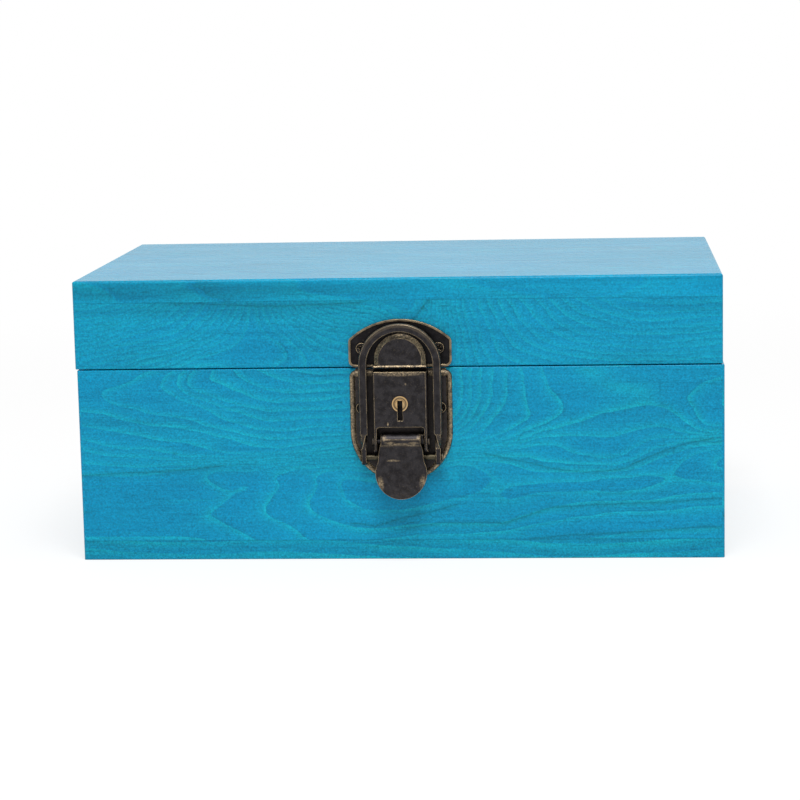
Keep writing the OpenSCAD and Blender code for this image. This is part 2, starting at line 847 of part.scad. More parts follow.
// Section of the bail's band: across is measured outwards from its inner edge,
// and the outer front edge is bevelled
module bail_section(from) {
    b = bail_bevel;
    polygon([
        [from, 0], [from + bail_band, 0], [from + bail_band, bail_t - b],
        [from + bail_band - b, bail_t], [from + b / 2, bail_t], [from, bail_t - b / 2]
    ]);
}

module bail() {
    color(bronze) {
        on_front(bail_back) translate([0, bail_arch_z, 0])
            rotate_extrude(angle = 180, $fn = 128) bail_section(bail_r - bail_band);
        for (side = [-1, 1]) bail_leg(side);
    }
}

// One leg: flat band with rounded lower corners, twisted neck and edge-on ear
module bail_leg(side) {
    turned = side < 0 ? 1 : 0;
    ear_low_z = bail_pin_z - ear_tail;
    overlap = 0.3;
    intersection() {
        on_front(bail_back)
            translate([0, bail_arch_z, 0]) rotate([90, 0, 0])
                linear_extrude(bail_arch_z - leg_low_z)
                    mirror([turned, 0]) bail_section(bail_r - bail_band);
        on_front(bail_back - cut_over) linear_extrude(bail_t + 2 * cut_over)
            mirror([turned, 0])
                soft_rect([bail_r - bail_band, leg_low_z], [bail_r, bail_arch_z + cut_over],
                    [leg_corner_r, leg_corner_r, 0, 0]);
    }
    translate([latch_x + side * ear_x, front_y - bail_mid, ear_top_z - overlap])
        twisted_bar(leg_low_z - ear_top_z + 2 * overlap, [ear_t, bail_t], side);
    difference() {
        across_latch(side * ear_x - ear_t / 2, side * ear_x + ear_t / 2) {
            translate([bail_pin_out, ear_low_z]) circle(ear_r);
            polygon([
                [bail_pin_out - ear_r, ear_low_z], [bail_pin_out + ear_r, ear_low_z],
                [bail_mid + ear_t / 2, ear_top_z], [bail_mid - ear_t / 2, ear_top_z]
            ]);
        }
        cross_pin(bail_pin_y, bail_pin_z, bail_pin_r + running_fit, bail_w + 2);
    }
}

// A square bar of the given section that makes a quarter turn over its length and
// ends, at its top, unturned
module twisted_bar(length, section, side) {
    rings = 8;
    corners = [[-1, -1], [1, -1], [1, 1], [-1, 1]];
    function ring_point(i, corner) =
        let (turn = side * 90 * (1 - i / rings),
            x = corner.x * section.x / 2,
            y = corner.y * section.y / 2)
        [x * cos(turn) - y * sin(turn), x * sin(turn) + y * cos(turn), length * i / rings];
    points = [for (i = [0:rings], corner = corners) ring_point(i, corner)];
    sides = [for (i = [0:rings - 1], k = [0:3])
        let (a = 4 * i + k, b = 4 * i + (k + 1) % 4)
        each [[a, a + 4, b], [b, a + 4, b + 4]]];
    low_end = [[0, 1, 2, 3]];
    high_end = [[for (k = [3:-1:0]) 4 * rings + k]];
    polyhedron(points, concat(low_end, sides, high_end));
}

// ---- the hinges ----

// One leaf with its knuckles: up is -1 for the leaf on the base and 1 on the lid,
// and first is the number of its first knuckle; it owns every other one
module hinge_leaf(x, up, first, pin_fit) {
    plate_low = seam_gap / 2;
    color(bronze)
    translate([x, 0, hinge_z])
    difference() {
        union() {
            difference() {
                translate([-hinge_w / 2, back_y, min(up * plate_low, up * leaf_h)])
                    cube([hinge_w, leaf_t, leaf_h - plate_low]);
                for (i = [1 - first:2:knuckle_count - 1]) knuckle_notch(i);
            }
            for (i = [first:2:knuckle_count - 1]) knuckle(i, up);
        }
        translate([0, hinge_y, 0]) rotate([0, 90, 0])
            cylinder(h = hinge_w + 2, r = hinge_pin_r + pin_fit, center = true);
        for (side = [-1, 1])
            translate([side * leaf_screw_x, back_y, up * leaf_screw_drop]) rotate([-90, 0, 0])
                cylinder(h = 4 * leaf_t, r = shank_r + pressed_fit, center = true);
    }
}

// Left end of a knuckle, counted from the hinge's left end
function knuckle_x(i) = -hinge_w / 2 + i * knuckle_l;

module knuckle(i, up) {
    translate([knuckle_x(i) + knuckle_gap / 2, hinge_y, 0]) rotate([0, 90, 0])
        cylinder(h = knuckle_l - knuckle_gap, r = knuckle_r);
    translate([knuckle_x(i) + knuckle_gap / 2, back_y, up > 0 ? seam_gap / 2 : -knuckle_r])
        cube([knuckle_l - knuckle_gap, leaf_t, knuckle_r - seam_gap / 2]);
}

// Room in a leaf for a knuckle of the other leaf
module knuckle_notch(i) {
    room = knuckle_r + side_clearance;
    translate([knuckle_x(i) - knuckle_gap / 2, back_y - cut_over, -room])
        cube([knuckle_l + knuckle_gap, leaf_t + 2 * cut_over, 2 * room]);
}

module hinge_pin(x) {
    color(worn_bronze)
    translate([x, hinge_y, hinge_z]) rotate([0, 90, 0]) {
        cylinder(h = hinge_w, r = hinge_pin_r, center = true);
        for (side = [-1, 1])
            translate([0, 0, side * (hinge_w / 2 + 0.25)])
                cylinder(h = 0.5, r = hinge_pin_r + 0.4, center = true);
    }
}

module left_hinge_base_leaf() {
    hinge_leaf(-hinge_x, -1, 0, pressed_fit);
}

module left_hinge_lid_leaf() {
    hinge_leaf(-hinge_x, 1, 1, running_fit);
}

module left_hinge_pin() {
    hinge_pin(-hinge_x);
}

module right_hinge_base_leaf() {
    hinge_leaf(hinge_x, -1, 0, pressed_fit);
}

module right_hinge_lid_leaf() {
    hinge_leaf(hinge_x, 1, 1, running_fit);
}

module right_hinge_pin() {
    hinge_pin(hinge_x);
}

module hinge_base_screws() {
    color(worn_bronze) at_hinge_screws(-1) wood_screw(hinge_screw_head_r, hinge_screw_head_h);
}

module hinge_lid_screws() {
    color(worn_bronze) at_hinge_screws(1) wood_screw(hinge_screw_head_r, hinge_screw_head_h);
}

base_front_board();
base_back_board();
base_left_side();
base_right_side();
bottom_board();
lid_top_board();
lid_front_rail();
lid_back_rail();
lid_left_rail();
lid_right_rail();
catch_plate();
catch_plate_screws();
lock_plate();
lock_plate_screws();
lock_housing();
key_bush();
lock_bolt();
lever_pin();
lever();
bail_pin();
bail();
left_hinge_base_leaf();
left_hinge_lid_leaf();
left_hinge_pin();
right_hinge_base_leaf();
right_hinge_lid_leaf();
right_hinge_pin();
hinge_base_screws();
hinge_lid_screws();
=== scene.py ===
import math

import bmesh
import bpy
import numpy as np
from mathutils import Matrix, Vector


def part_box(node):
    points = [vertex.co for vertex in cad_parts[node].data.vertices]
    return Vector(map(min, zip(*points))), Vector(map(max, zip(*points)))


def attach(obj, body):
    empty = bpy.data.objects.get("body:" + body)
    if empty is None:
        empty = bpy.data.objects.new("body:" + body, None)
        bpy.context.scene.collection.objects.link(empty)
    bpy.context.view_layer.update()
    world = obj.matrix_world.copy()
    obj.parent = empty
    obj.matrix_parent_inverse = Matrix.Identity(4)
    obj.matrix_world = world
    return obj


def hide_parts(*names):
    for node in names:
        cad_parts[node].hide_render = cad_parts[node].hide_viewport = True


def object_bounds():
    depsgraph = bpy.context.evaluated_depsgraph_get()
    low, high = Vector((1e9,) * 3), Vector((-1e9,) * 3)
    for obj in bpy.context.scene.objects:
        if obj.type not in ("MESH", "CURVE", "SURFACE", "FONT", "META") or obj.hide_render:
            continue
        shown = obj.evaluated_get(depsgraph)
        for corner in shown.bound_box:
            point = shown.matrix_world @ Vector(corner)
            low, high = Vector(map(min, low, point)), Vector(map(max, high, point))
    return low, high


bl_info = {
    "name": "Stained Wooden Chest",
    "version": (1, 0, 0),
    "blender": (4, 5, 0),
    "location": "View3D > Sidebar > Chest",
    "description": "Dresses a small wooden chest with a keyed toggle latch",
    "category": "Object",
}

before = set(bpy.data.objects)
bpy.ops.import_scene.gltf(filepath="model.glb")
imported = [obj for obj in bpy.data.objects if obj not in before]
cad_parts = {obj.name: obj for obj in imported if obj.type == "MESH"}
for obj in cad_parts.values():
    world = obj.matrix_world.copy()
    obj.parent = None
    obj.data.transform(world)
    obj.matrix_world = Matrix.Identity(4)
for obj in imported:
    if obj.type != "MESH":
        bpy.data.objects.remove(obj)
LOADED_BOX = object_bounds()
MM = 0.001

LINEAR = "LINEAR"
SMOOTH = "SMOOTHSTEP"
AXES = "xyz"

# Heights where one board lies on the next, and the place of the chest's front
JOINT_HEIGHTS = (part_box("bottom_board")[1][2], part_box("lid_top_board")[0][2])
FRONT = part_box("base_front_board")[0][1]
# Each group of screws: its body, the way its heads face, and how high they stand
SCREWS = {
    "catch_plate_screws": ("lid", (0.0, -1.0, 0.0), 0.9 * MM),
    "lock_plate_screws": ("base", (0.0, -1.0, 0.0), 0.9 * MM),
    "hinge_base_screws": ("base", (0.0, 1.0, 0.0), 0.55 * MM),
    "hinge_lid_screws": ("lid", (0.0, 1.0, 0.0), 0.55 * MM),
}

# Growth rings of the base's front board: the ring's number, then points (x, z) on it, in mm
BASE_RINGS = (
    (0, ((23, 37), (28.5, 36), (32, 34.5), (34, 32.5), (32, 28), (26, 25), (19, 23.5))),
    (1, ((-27, 37), (-30, 33), (-31.5, 29.5), (-34, 25), (-34.5, 19.5), (-30, 17.5), (-26, 15.5),
        (-18, 13))),
    (1, ((15.5, 14.5), (26, 14), (37.5, 14), (46, 16.5), (55.5, 20), (65.5, 21.5), (74.5, 22.5),
        (87, 22.5))),
    (2, ((-36.5, 38.5), (-41, 35), (-46.5, 29.5), (-50.5, 24), (-52.5, 19.5), (-50.5, 17), (-45, 14.5),
        (-40, 11), (-36.5, 8))),
    (3, ((-48, 38), (-57, 34), (-62.5, 29.5), (-67, 24), (-71.5, 20), (-75.5, 17), (-70, 15),
        (-64.5, 12), (-59, 9), (-56.5, 7.5))),
    (4, ((-123, 34), (-113, 33.5), (-104, 33), (-95.5, 34), (-85, 36), (-72.5, 37), (-57, 38))),
    (4, ((-122.5, 9.5), (-107, 9.5), (-94.5, 10), (-79, 9))),
    (3.6, ((-123.5, 26), (-113.5, 26.5), (-104.5, 27), (-88, 28.5), (-78, 32))),
    (3.45, ((-121, 18.5), (-106.5, 18.5), (-92.5, 17.5))),
    (5, ((-123, 38), (-113, 37), (-101, 36.5), (-92, 37), (-82, 37.5), (-71, 38), (-57, 38.5),
        (-43, 39), (-29, 39.5))),
    (6, ((-122.5, 43), (-114.5, 41.5), (-104, 40.5), (-87.5, 39.5), (-81.5, 39), (-64, 39),
        (-50, 39.5), (-36, 40), (-27, 40))),
    (7, ((-122.5, 47.5), (-117.5, 45.5), (-106, 43.5), (-96.5, 43.5), (-87.5, 42), (-78, 40.5),
        (-67.5, 40), (-57, 40), (-46.5, 40.5), (-32.5, 41.5))),
    (8, ((-123, 52.5), (-116, 52), (-109, 50.5), (-100.5, 49.5), (-95, 47.5), (-87.5, 46.5),
        (-81, 45.5), (-73, 44), (-65, 42), (-57, 41.5), (-43, 42), (-32.5, 43), (-19.5, 44))),
    (9, ((-123.5, 59), (-118, 58.5), (-112.5, 57), (-103.5, 54.5), (-97, 53), (-87, 52.5),
        (-81.5, 51.5), (-76, 50.5), (-70.5, 49), (-65, 47.5), (-56.5, 45.5), (-47.5, 44.5),
        (-39, 44.5), (-28.5, 46), (-19.5, 46.5))),
    (10, ((-97.5, 75), (-102.5, 72), (-109.5, 69), (-114, 67.5), (-117, 65.5), (-113.5, 62.5),
        (-108.5, 60.5), (-103, 59.5), (-98, 58), (-91, 56.5), (-84.5, 55), (-77.5, 53.5), (-70.5, 51),
        (-63.5, 50), (-56.5, 48), (-49.5, 47), (-42.5, 47), (-36.5, 48), (-28.5, 48.5), (-19.5, 48.5))),
    (11, ((-86.5, 75), (-91.5, 71.5), (-93, 68.5), (-91, 67), (-84, 63.5), (-77, 60.5), (-70, 57),
        (-63.5, 54.5), (-56.5, 52), (-46, 50.5), (-33.5, 51.5), (-19.5, 52.5))),
    (12, ((-49.5, 54.5), (-39, 55), (-19.5, 56))),
    (13, ((-80.5, 75), (-82.5, 70.5), (-79.5, 66.5), (-73, 64.5), (-64.5, 61.5), (-56, 59.5),
        (-49.5, 58), (-39, 58.5), (-25, 58.5), (-19.5, 59.5))),
    (14, ((-71.5, 74.5), (-71, 71), (-66.5, 68.5), (-57.5, 64), (-47, 62), (-35, 62.5), (-19.5, 63.5))),
    (15, ((-63.5, 74.5), (-62, 72), (-58, 69.5), (-49, 66), (-35, 65.5), (-21.5, 67.5))),
    (16, ((-55, 74.5), (-47.5, 71.5), (-42, 69.5), (-35, 69), (-28, 68.5), (-19, 69.5))),
    (17, ((-42, 74.5), (-36.5, 73), (-28, 72.5), (-19, 73))),
    (4.5, ((40, 43.5), (50, 48), (65.5, 50), (80, 52.5), (94, 54), (104.5, 54))),
    (2, ((39.5, 40.5), (50, 39), (58.5, 37.5), (70, 36.5), (85.5, 36), (91, 38.5), (99, 42.5),
        (108, 44.5), (121.5, 46))),
    (6, ((56, 73.5), (59, 67), (61.5, 63), (65, 59.5), (58.5, 53.5), (51.5, 50), (44.5, 47))),
    (7.2, ((47, 73.5), (47.5, 65), (48, 59), (46.5, 56), (41, 51), (33.5, 47), (24.5, 45))),
    (8.6, ((39, 73.5), (38.5, 63.5), (35.5, 57), (32.5, 54), (26.5, 49))),
    (10, ((32.5, 73.5), (32, 65), (30.5, 58.5), (27.5, 54), (23, 50))),
    (11.5, ((27, 73.5), (27, 63.5), (25.5, 58.5), (23, 55))),
    (6, ((124.5, 70.5), (118.5, 69), (114, 66.5), (111, 63), (111, 60), (114, 56.5), (117.5, 52),
        (119.5, 49.5))),
    (6.8, ((124.5, 64), (122, 60.5), (124.5, 56))),
    (5.1, ((69.5, 73), (80, 71.5), (87, 68.5), (94, 66.5), (97.5, 63), (87, 59.5), (76.5, 57.5))),
    (5.4, ((87, 73.5), (101, 71.5), (111.5, 72))),
    (0, ((44, 28.5), (65.5, 30), (87, 31.5), (108, 32.5))),
    (1.8, ((46, 14.5), (54, 15.5), (62, 17), (69.5, 18.5), (78, 19), (87, 19.5), (96.5, 19.5),
        (108, 21), (124.5, 22))),
    (3, ((49.5, 7), (68, 7), (75.5, 8.5), (79.5, 9), (90.5, 10.5), (97.5, 11.5), (108, 11.5),
        (125, 12))),
    (3.6, ((15, 5.5), (36.5, 5), (58, 4.5), (86.5, 6), (122, 8))),
    (2.2, ((15, 9), (29.5, 9.5), (44, 10.5))),
)

# Growth rings of the lid's front rail, in the same way
LID_RINGS = (
    (27, ((-124, 96.5), (-115, 97.5), (-104, 100.5))),
    (24, ((-124, 90.5), (-115.5, 92), (-107.5, 94), (-100.5, 96), (-93.5, 99), (-90, 101))),
    (21, ((-124, 85), (-119, 85.5), (-112, 87.5), (-104.5, 90.5), (-97.5, 92.5), (-90, 95),
        (-85.5, 97.5), (-82.5, 101))),
    (18.5, ((-124.5, 78.5), (-118, 81), (-108.5, 83), (-97.5, 84.5), (-89, 86.5), (-83, 88.5),
        (-77, 93), (-73, 97), (-70.5, 100.5))),
    (16.5, ((-116, 76), (-105, 78), (-96.5, 81), (-86, 83), (-77.5, 86.5), (-71.5, 90), (-67, 95),
        (-64, 100.5))),
    (14.5, ((-98, 76), (-88, 78), (-79, 81.5), (-72, 84.5), (-66, 88.5), (-62, 93.5), (-59, 100.5))),
    (13, ((-86.5, 76), (-76.5, 78.5), (-69, 81.5), (-63, 84), (-59, 88.5), (-57, 93.5), (-55.5, 100.5))),
    (11, ((-51.5, 100.5), (-50, 96), (-46.5, 91), (-41.5, 87), (-37.5, 83), (-35.5, 79.5),
        (-35.5, 75.5))),
    (9, ((-47, 100.5), (-45, 96), (-41.5, 92.5), (-36.5, 89), (-31, 85.5), (-26, 83), (-19, 81))),
    (6.5, ((-42, 100.5), (-40, 97.5), (-36, 94.5), (-31, 92.5), (-24.5, 90), (-19, 90))),
    (4, ((-36.5, 100.5), (-33.5, 98), (-29.5, 96), (-24, 94.5), (-16.5, 94))),
    (2, ((-29.5, 100), (-26, 98.5), (-20, 97), (-14, 97))),
    (12.3, ((-62, 76), (-55, 77.5), (-47.5, 80.5), (-44, 82.5))),
    (2, ((14, 101), (14.5, 95))),
    (5, ((17.5, 101), (18, 93.5), (18.5, 89))),
    (7, ((21, 100.5), (21.5, 93.5), (23, 84.5))),
    (9, ((25.5, 100.5), (26.5, 92.5), (28, 84.5), (31, 77))),
    (10.5, ((29.5, 100.5), (30.5, 96), (32.5, 90.5), (34, 84.5), (37, 78.5), (42, 75.5))),
    (11.5, ((33, 100.5), (35, 95.5), (38, 88.5), (40.5, 83.5), (45.5, 79), (56.5, 76))),
    (14, ((42.5, 100.5), (46, 94.5), (51, 88.5), (58, 84), (68.5, 81), (82, 79.5), (100.5, 79),
        (122, 80))),
    (16, ((54, 100.5), (58.5, 94.5), (64, 90), (75, 86), (89.5, 84), (107.5, 84), (124, 85.5))),
    (18, ((64, 100), (68.5, 96.5), (75, 93.5), (86, 90), (96.5, 89), (107.5, 89.5), (124, 91))),
    (20, ((78.5, 100), (86, 96.5), (97, 94.5), (111, 95.5), (124, 96.5))),
    (21.3, ((100.5, 100), (115, 99), (124, 100))),
)

# Dark resin streaks of the base's front board, as points (x, z) in mm from left to right
BASE_STREAKS = (
    ((-126, 33.5), (-115.5, 34.5), (-97.5, 35.5), (-82, 36), (-69, 37.5)),
    ((33, 41.5), (46.5, 38), (58, 35), (72.5, 34), (87.5, 36), (100.5, 41.5), (111.5, 45.5), (120, 47)),
    ((3, 12), (15.5, 14), (39.5, 14), (57, 19.5), (72.5, 21), (96.5, 22), (125, 23.5)),
    ((50, 7.5), (73.5, 9.5), (97.5, 11), (125, 13)),
    ((-19, 14), (-10, 12.5), (1.5, 16), (11.5, 18.5), (21, 21.5)),
)
LID_STREAKS = (((-95, 102), (-75.5, 101), (-52.5, 99.5), (-25.5, 100), (-13, 101)),)

# Spacing of the spline under a drawn figure, along and across the grain, how far it reaches
# past the board (mm), how stiff it is, and how much a ring's number changes for each mm of depth
SPLINE_STEP = (6, 4)
SPLINE_MARGIN = (4, 2)
SPLINE_STIFFNESS = 0.12
RINGS_PER_DEPTH = 0.12
# Spacing of the samples along a drawn ring (mm), the weight of the spline's twists, and the way
# to a streak where there is none (mm)
RING_SAMPLE = 3
TWIST = 1.4
NO_STREAK = 50.0
# Steps for the figure's slope, and the least and the greatest gap between two rings (mm)
SLOPE_STEPS = (np.array((0.5, 0.0)), np.array((0.0, 0.5)))
GAP_LIMITS = (0.8, 16.0)
# Mean gap of the rings on the other boards, as a share of the ring gap
PLAIN_GAP = 0.55
VARNISH_IOR = 1.22
# Size of the cells that a figured face is cut into
CELL = 1.3 * MM

# Hearts of the figure on the other boards: along, across, squeeze on the low and the high side,
# pointedness and start. Lengths are in mm, along the grain and across it.
FIGURES = {
    "lid_top": ((-30, 28, 0.16, 0.12, 1.7, 0), (70, -48, 0.14, 0.18, 1.7, 9)),
    "plain_low": ((-35, 5, 0.20, 0.16, 1.6, 0), (80, 70, 0.18, 0.20, 1.7, 5)),
    "plain_high": ((40, 92, 0.18, 0.22, 1.7, 2), (-90, 60, 0.16, 0.2, 1.6, 7)),
    "side_low": ((-20, 36, 0.28, 0.22, 1.6, 0), (60, 90, 0.2, 0.3, 1.7, 6)),
    "side_high": ((25, 84, 0.3, 0.22, 1.6, 3), (-70, 120, 0.2, 0.3, 1.7, 6)),
}
# How two hearts flow together, how fast the figure changes into the board, and the two sways
# that bend the rings: noise scale, detail, reach
HEART_BLEND = 14.0 * MM
FIGURE_DEPTH = 0.9
RING_SWAYS = ((9.0, 1.5, 13.0 * MM), (60.0, 3.0, 1.5 * MM))
# How much of an axis each seed shifts a pattern
SEED_SHIFT = (0.37, 0.23, 0.51)
# Patterns drawn out along the grain: scale along it and across it, then noise scale, detail and
# roughness
GRAIN_PATTERNS = {
    "wobble": (70.0, 220.0, 1.0, 3.0, 0.55),
    "sway": (30.0, 60.0, 1.0, 2.0, 0.5),
    "fading": (1.0, 4.0, 24.0, 3.0, 0.6),
    "cloud": (1.0, 4.0, 16.0, 3.0, 0.5),
    "bands": (7.0, 230.0, 1.0, 4.0, 0.6),
    "fibre": (45.0, 1400.0, 1.0, 3.0, 0.65),
    "pores": (170.0, 2400.0, 1.0, 2.0, 0.6),
}
# Patterns with no grain: noise scale, detail and roughness
RING_SHIFT = (14.0, 2.0, 0.5)
KNOT_EDGE = (500.0, 3.0, 0.5)
DUST = (1350.0, 2.0, 0.75)
# Colours laid over the rings: the pattern, where it starts and is full, strength and colour
WOOD_LAYERS = (
    ("fibre", 0.50, 0.74, 0.42, "streak"),
    ("bands", 0.52, 0.74, 0.34, "streak"),
    ("pores", 0.60, 0.76, 0.55, "late"),
    ("fibre", 0.46, 0.24, 0.32, "early"),
)
# A ring's pale part and its dark edge: reach (mm) and strength of each
RING_PALE = ((1.1, 0.95), (4.5, 0.32))
RING_EDGE = (0.5, 1.0)
STREAK_CORE = (0.45, 1.0)
KNOT_DARK = (0.6, 1.4)
LINE_STRENGTH = 0.62
# The dark joint between two boards: half its width, where it has faded, and its shade
JOINT_LINE = (0.10 * MM, 0.34 * MM, 0.80)

# A dark check beside a knot in the lid's front: x, z of its two ends, in mm
LID_KNOT = (12.5, 101, 6.5, 94)
# Darker patches of the lid's front and of its top board's front edge: x, z, half width and
# half height in mm, and strength
LID_SHADE = (-52, 100.5, 62, 8, 0.18)
TOP_SHADE = (-100, 105.4, 130, 4.4, 0.26)

# The boards with a drawn figure: body, rings, streaks and the looks of their wood
FRONT_BOARDS = {
    "base_front_board": ("base", BASE_RINGS, BASE_STREAKS, {
        "name": "Wood base front", "seed": 1, "pale_gain": 0.92,
    }),
    "lid_front_rail": ("lid", LID_RINGS, LID_STREAKS, {
        "name": "Wood lid front", "seed": 2, "pale_gain": 0.66, "knot": LID_KNOT, "shade": LID_SHADE,
    }),
}
# The other boards' wood
SIDE = {"grain": "y", "face": "yz"}
PLAIN_BOARDS = {
    "base_back_board": {"name": "Wood base back", "figure": "plain_low", "seed": 4},
    "lid_back_rail": {"name": "Wood lid back", "figure": "plain_high", "seed": 5},
    "lid_top_board": {
        "name": "Wood lid top", "figure": "lid_top", "seed": 3, "face": "xy", "tone": 1.05,
        "pale_gain": 0.5, "shade": TOP_SHADE,
    },
    "bottom_board": {
        "name": "Wood bottom", "figure": "lid_top", "seed": 6, "face": "xy", "tone": 0.89,
        "pale_gain": 1.0,
    },
    "base_left_side": {"name": "Wood base left", "figure": "side_low", "seed": 7, **SIDE},
    "base_right_side": {"name": "Wood base right", "figure": "side_low", "seed": 8, **SIDE},
    "lid_left_rail": {"name": "Wood lid left", "figure": "side_high", "seed": 9, **SIDE},
    "lid_right_rail": {"name": "Wood lid right", "figure": "side_high", "seed": 10, **SIDE},
}

# Middle of the key's hole, and the dark ring round it: radius, and how far from that radius it
# ends and is whole (mm)
KEY_CENTRE = (1.2, 62.1)
KEY_RING = (2.35, 0.42, 0.1)
# Bright marks in the worn colour: on the lever, glints painted on the paddle's curled sides and on the
# hub's corners and crest, and one bright scratch; on the housing, two small marks and a band along its
# top edge. x, z, half width, half height in mm, and strength
LEVER_RUBS_AND_GLINTS = (
    (-7.0, 30.9, 1.6, 3.2, 0.65), (9.7, 31.6, 1.6, 3.2, 0.55), (-5.1, 48.9, 0.9, 1.3, 0.55),
    (8.2, 49.0, 0.9, 1.3, 0.55), (1.6, 46.6, 6.5, 0.5, 0.7), (-3.0, 47.1, 2.2, 0.6, 0.5),
    (6.3, 47.0, 2.2, 0.6, 0.5), (-1.8, 40.1, 2.8, 0.5, 0.6),
)
HOUSING_MARKS = (
    (-3.6, 54.2, 0.35, 0.9, 0.8), (3.5, 69.7, 0.35, 0.5, 0.7), (1.2, 73.8, 9.8, 1.1, 0.6),
)
# A highlight painted on the bow's outer band, lighter towards the top where light from above falls: its
# middle's x and z, its inner radius, and the heights where it starts and is whole (mm)
BOW_HIGHLIGHT = (1.2, 77.0, 14.5, 80.0, 89.0)
# How far the foot and the top of the catch plate's rim stand out from the chest's front, and
# between which heights its wear ends, because the dome begins there
RIM_FOOT = 0.9 * MM
RIM_TOP = 1.2 * MM
RIM_LIMIT = (2.0 * MM, 1.7 * MM)
# The heights between which the wear of the lock plate's lip begins, and ends
LIP_START = (0.75 * MM, 1.05 * MM)
LIP_END = (1.6 * MM, 1.4 * MM)
# The height over which the wear of a slope begins
SLOPE_START = 0.2 * MM
# Reach of the close look for inner corners, which keeps wear off them, and of the wide look that darkens
# corners and recesses with painted shade
NEAR_AIR = 1.6 * MM
FAR_AIR = 5.0 * MM
# Reach of the look that paints shade into the key's hole
HOLE_AIR = 1.2 * MM
# Patterns in the plating: noise scale, detail and roughness
PLATING_CLOUD = (420.0, 3.0, 0.6)
PLATING_GRAIN = (3600.0, 2.0, 0.6)
PATCHES = (300.0, 3.0, 0.6)
SPECKLE = (1500.0, 3.0, 0.7)
FINE_SPECKLE = (1300.0, 3.0, 0.75)
SPARSE = (190.0, 1.0, 0.5)
BRASS_GRAIN = (2600.0, 3.0, 0.6)
BRASS_CLOUD = (500.0, 3.0, 0.6)
# Colour of the plating where it is dark and light, against its mean
DARK_LIGHT = (0.72, 1.32)
# How far out the key's hole is darkened most by painted shade, and how far out it is bright again
KEYHOLE_DEPTH = (5.2 * MM, 6.2 * MM)
# Sides of a screw, and the rings of its dished face
SCREW_SIDES = 40
DISH_RINGS = 11
# Solids of one screw lie nearer to each other than this
SAME_SCREW = 1.5 * MM

# Each metal finish, over the plain antique bronze
METALS = {
    "Antique bronze": {},
    "Antique bronze plates": {"slopes_from": 0.3 * MM, "lip": 0.42},
    "Antique bronze catch": {"slopes_from": 0.3 * MM, "rim": 0.45, "field_shade": 0.55},
    "Antique bronze lever": {"slopes_from": 7.3 * MM, "rubs_and_glints": LEVER_RUBS_AND_GLINTS, "pillow": 1.8 * MM},
    "Antique bronze bail": {"bow_highlight": BOW_HIGHLIGHT},
    "Antique bronze housing": {"rubs_and_glints": HOUSING_MARKS},
    "Bronze fasteners": {"seed": 2.0, "wear": 1.3},
    "Worn bail pin": {"plating": "rubbed", "seed": 4.0},
    "Bolt steel": {"plating": "steel", "seed": 3.0, "wear": 0.3},
}
LATCH = {
    "catch_plate": "Antique bronze catch",
    "lock_plate": "Antique bronze plates",
    "lock_housing": "Antique bronze housing",
    "lever": "Antique bronze lever",
    "lever_pin": "Bronze fasteners",
    "bail": "Antique bronze bail",
    "bail_pin": "Worn bail pin",
    "lock_bolt": "Bolt steel",
}
HINGE = {
    "base_leaf": "Antique bronze",
    "lid_leaf": "Antique bronze",
    "pin": "Bronze fasteners",
}

SEEN_RAYS = ("Is Camera Ray", "Is Glossy Ray", "Is Transmission Ray")
# The studio: the floor's near and far distance for its fade to white, its shades and glow, the
# world's light, and the lamp's place, width (m) and power (W)
FADE_FROM, FADE_TO = 0.25, 0.8
LIT_GREY, SEEN_GREY, NEAR_GLOW = 0.86, 0.30, 0.70
SKY_LIGHT = 0.50
LAMP_PLACE = (0.12, -0.95, 2.0)
LAMP_AIM = (0.0, 0.0, 0.05)
LAMP_SIZE, LAMP_POWER = 1.0, 33.0


# ---- settings ----


def colour(label, about, value):
    """A colour setting."""
    return bpy.props.FloatVectorProperty(
        name=label, description=about, default=value, size=3, subtype="COLOR", min=0.0, max=1.0
    )


def length(label, about, value):
    """A length setting, in metres."""
    return bpy.props.FloatProperty(name=label, description=about, default=value, unit="LENGTH")


def share(label, about, value):
    """A setting from 0 to 1."""
    return bpy.props.FloatProperty(
        name=label, description=about, default=value, min=0.0, max=1.0, subtype="FACTOR"
    )


class ChestWoodSettings(bpy.types.PropertyGroup):
    """Colours and sizes of the stained boards."""

    stain: colour("Stain", "Blue of the stained wood", (0.0035, 0.270, 0.485))
    early: colour("Early wood", "Paler stain in the soft part of each ring", (0.008, 0.43, 0.54))
    late: colour("Late wood", "Green-grey line at the hard edge of a ring", (0.004, 0.155, 0.21))
    streak: colour("Streak", "Dark fine streaks along the grain", (0.003, 0.165, 0.30))
    ring_gap: length("Ring gap", "Mean distance between two growth rings", 4.2 * MM)
    varnish_roughness: share("Varnish roughness", "Roughness of the satin varnish", 0.27)


class ChestMetalSettings(bpy.types.PropertyGroup):
    """Colours and sizes of the antique bronze fittings."""

    bronze: colour("Bronze", "Dark antique plating", (0.031, 0.029, 0.031))
    # The worn colour is also the colour of the glints painted on the lever and of the highlight painted
    # on the bow
    worn: colour("Worn edges", "Brassy metal where the plating has rubbed off", (0.50, 0.385, 0.235))
    rubbed: colour("Rubbed bronze", "Plating of the much handled pin", (0.075, 0.064, 0.042))
    brass: colour("Brass", "Metal of the key bush", (0.56, 0.36, 0.16))
    steel: colour("Steel", "Metal of the lock bolt", (0.045, 0.045, 0.047))
    edge_reach: length("Wear reach", "How far the wear comes in from an edge", 0.35 * MM)
    roughness: share("Roughness", "Roughness of the plating", 0.42)


